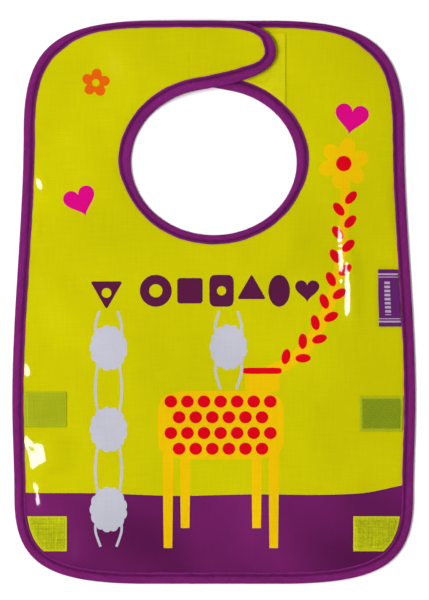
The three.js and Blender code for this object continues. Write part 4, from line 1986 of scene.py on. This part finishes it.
@dataclass
class SideLabel:
    """A folded satin label caught under the binding, with plain stripes and nothing written.

    Attributes:
        outline: The bib's outline.
        levels: Its layers.
        wardrobe: The finishes.
        bend: Radius of its folded edge.
        thickness: Of the ribbon.
        rows: How many strips it is cut into from end to end.
        steps: How many strips each face is cut into across.
        slant: How much further right its lower corner is than its upper one.
        curl: How far the folded edge stands up.
        curl_reach: How far from the folded edge it does so.
        gap: How far the label lies above the panel.
        wave: How far its folded edge strays from straight.
        belly: How far the middle of its upper layer stands up.
        stripes: Where each stripe starts and ends, as shares of the label's length.
        dashes: Where the column of dashes starts and ends, in the same way.
    """

    outline: Outline
    levels: Levels
    wardrobe: Wardrobe
    bend: float = 0.40 * MM
    thickness: float = 0.22 * MM
    rows: int = 70
    steps: int = 18
    slant: float = 0.6 * MM
    curl: float = 0.45 * MM
    curl_reach: float = 11 * MM
    gap: float = 0.12 * MM
    wave: float = 0.12 * MM
    belly: float = 0.16 * MM
    stripes: tuple[tuple[float, float], ...] = ((0.07, 0.10), (0.13, 0.145), (0.855, 0.87),
                                                (0.90, 0.93))
    dashes: tuple[float, float] = (0.20, 0.80)

    def build(self) -> None:
        """Makes the label, a folded ribbon."""
        low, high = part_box("side_label")
        ys = np.linspace(low.y, high.y, self.rows + 1)
        seam = self.outline.half(self.levels.binding_width + 0.15 * MM)
        seam = seam[(seam[:, 0] > 100 * MM) & (seam[:, 1] < 60 * MM) & (seam[:, 1] > -60 * MM)]
        order = np.argsort(seam[:, 1])
        tail = np.interp(ys, seam[order, 1], seam[order, 0])
        base = self.levels.panel_top + self.gap
        t = (ys - low.y) / (high.y - low.y)
        fold = low.x + self.slant * (1 - t) + self.wave * np.sin(t * 9)
        arc = np.linspace(-math.pi / 2, -3 * math.pi / 2, 9)
        across = np.linspace(1, 0, self.steps + 1)
        verts, flats = [], []
        for y, x0, x1, part in zip(ys, fold, tail, t):
            start = x0 + self.bend
            under = [(start + a * (x1 - start), 0.0) for a in across]
            round_ = [(start + self.bend * math.cos(a), self.bend + self.bend * math.sin(a))
                      for a in arc[1:-1]]
            over = [(start + a * (x1 - start), 2 * self.bend) for a in across[::-1]]
            path = np.array(under + round_ + over)
            free = 1 - smoothstep((path[:, 0] - x0) / self.curl_reach)
            lifted = self.curl * free * (0.55 + 0.45 * math.cos(2.4 * part + 0.4))
            belly = self.belly * (path[:, 1] > self.bend) * np.sin(
                math.pi * np.clip((path[:, 0] - x0) / (x1 - x0), 0, 1))
            along = np.concatenate([[0], np.cumsum(np.linalg.norm(np.diff(path, axis=0),
                                                                   axis=1))])
            for place, extra, gone in zip(path, lifted + belly, along):
                verts.append((place[0], y, base + place[1] + extra))
                flats.append((gone, y))
        count = 2 * (self.steps + 1) + len(arc) - 2
        faces, marks = [], []
        for row in range(self.rows):
            for k in range(count - 1):
                a = row * count + k
                faces.append((a, a + 1, a + count + 1, a + count))
                marks.append(self.marked((row + 0.5) / self.rows, k / (count - 1)))
        piece = new_piece("side_ribbon", np.array(verts), faces)
        plan_uv(piece, np.array(flats))
        self.wardrobe.dress(piece, LABEL, LABEL_MARK)
        piece.data.polygons.foreach_set("material_index", np.array(marks, np.int32))
        thicken(piece, self.thickness)
        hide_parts("side_label")
        LABEL_BEND.across(piece)

    def marked(self, t: float, u: float) -> bool:
        """Whether a strip of the label is one of its lighter stripes.

        Args:
            t: From 0 at its lower end to 1 at its upper.
            u: From 0 at its lower layer's seam to 1 at its upper layer's.

        Returns:
            Whether it is.
        """
        if any(low <= t <= high for low, high in self.stripes):
            return True
        first, last = self.dashes
        return first <= t <= last and int(t * self.rows) % 5 > 1 and 0.70 <= u <= 0.80


# ---- The studio ----


@dataclass(frozen=True)
class Lamp:
    """One soft box.

    Attributes:
        name: Its name.
        azimuth: Where it stands, in degrees from +X.
        tilt: Its angle from straight up, in degrees.
        power: In watts.
        size: Its side.
        distance: From the bib.
    """

    name: str
    azimuth: float
    tilt: float
    power: float
    size: float = 1.1
    distance: float = 2.4


@dataclass
class Studio:
    """The floor, soft light and camera.

    Attributes:
        camera_height: Of the camera above the table.
        view_height: Length of the table that the camera takes in.
        sensor: The camera's sensor, in millimetres.
        aim: The plan point that it looks at.
        floor_size: Side of the floor.
        floor_gap: How far the floor is below the bib.
        lamps: The soft boxes.
    """

    camera_height: float = 3.0
    view_height: float = 0.420
    sensor: float = 36.0
    aim: tuple[float, float] = (0.56 * MM, 1.54 * MM)
    floor_size: float = 40.0
    floor_gap: float = 0.15 * MM
    lamps: tuple[Lamp, ...] = (
        Lamp("key", 165.0, 38.0, 30.0, size=0.7),
        Lamp("window", 190.0, 28.0, 25.0, size=0.6),
        Lamp("upper", 80.0, 58.0, 9.0),
        Lamp("right", 350.0, 62.0, 7.0),
        Lamp("front", 250.0, 60.0, 9.0),
    )

    def build(self) -> None:
        """Sets all of it up."""
        scene = bpy.context.scene
        scene.view_settings.view_transform = "Standard"
        scene.view_settings.look = "None"
        self.camera()
        self.floor()
        self.sky()
        for lamp in self.lamps:
            self.soft_box(lamp)

    def camera(self) -> None:
        """Puts the camera straight above."""
        deselect()
        bpy.ops.object.camera_add(location=(*self.aim, self.camera_height), rotation=(0, 0, 0))
        camera = bpy.context.active_object
        camera.data.sensor_width = self.sensor
        camera.data.lens = self.sensor * self.camera_height / self.view_height
        camera.data.clip_end = 50.0
        bpy.context.scene.camera = camera

    def floor(self) -> None:
        """Lays a plain near-white floor."""
        deselect()
        bpy.ops.mesh.primitive_plane_add(size=self.floor_size, location=(0, 0, -self.floor_gap))
        floor = bpy.context.active_object
        floor.name = "floor"
        paper = bpy.data.materials.new("Pale paper")
        paper.use_nodes = True
        shader = paper.node_tree.nodes["Principled BSDF"]
        shader.inputs["Base Color"].default_value = (0.94, 0.94, 0.94, 1)
        shader.inputs["Roughness"].default_value = 0.9
        shader.inputs["Specular IOR Level"].default_value = 0.1
        floor.data.materials.append(paper)
        floor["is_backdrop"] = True

    def sky(self) -> None:
        """Surrounds it with light that is pale at the horizon and dim overhead."""
        world = bpy.data.worlds.new("Studio")
        world.use_nodes = True
        bpy.context.scene.world = world
        tree = world.node_tree
        make = Nodes(tree)
        place = make.add("TexCoord").outputs["Generated"]
        up = make.add("SeparateXYZ", i0=place).outputs["Z"]
        ramp = make.add("ValToRGB", Fac=up)
        stops = ramp.color_ramp.elements
        stops[0].position = 0.25
        stops[0].color = (0.95, 0.95, 0.95, 1)
        stops[1].position = 0.75
        stops[1].color = (0.03, 0.03, 0.03, 1)
        tree.links.new(ramp.outputs["Color"], tree.nodes["Background"].inputs["Color"])

    @staticmethod
    def soft_box(lamp: Lamp) -> None:
        """Adds one lamp, facing the bib and hidden from the camera.

        Args:
            lamp: The lamp.
        """
        a, t = math.radians(lamp.azimuth), math.radians(lamp.tilt)
        towards = Vector((math.cos(a) * math.sin(t), math.sin(a) * math.sin(t), math.cos(t)))
        deselect()
        bpy.ops.object.light_add(type="AREA", location=towards * lamp.distance)
        box = bpy.context.active_object
        box.name = lamp.name
        box.rotation_euler = (-towards).to_track_quat("-Z", "Y").to_euler()
        box.data.size = lamp.size
        box.data.energy = lamp.power
        box.visible_camera = False


def main() -> None:
    """Builds the bib and its studio."""
    logging.basicConfig(level=logging.INFO, format="%(message)s")
    wardrobe = Wardrobe()
    outline = Outline()
    levels = Levels()
    drape = Drape(outline, levels)
    stitch = model_stitch()
    Binding(outline, levels, drape, wardrobe).build(stitch)
    PatchMaker(outline, levels, drape, wardrobe).build(stitch)
    Sheet(outline, levels, drape, wardrobe).lay(Print(outline))
    SideLabel(outline, levels, wardrobe).build()
    Studio().build()
    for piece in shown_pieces():
        log.info("%s: %d faces", piece.name, len(piece.data.polygons))


if __name__ == "__main__":
    main()
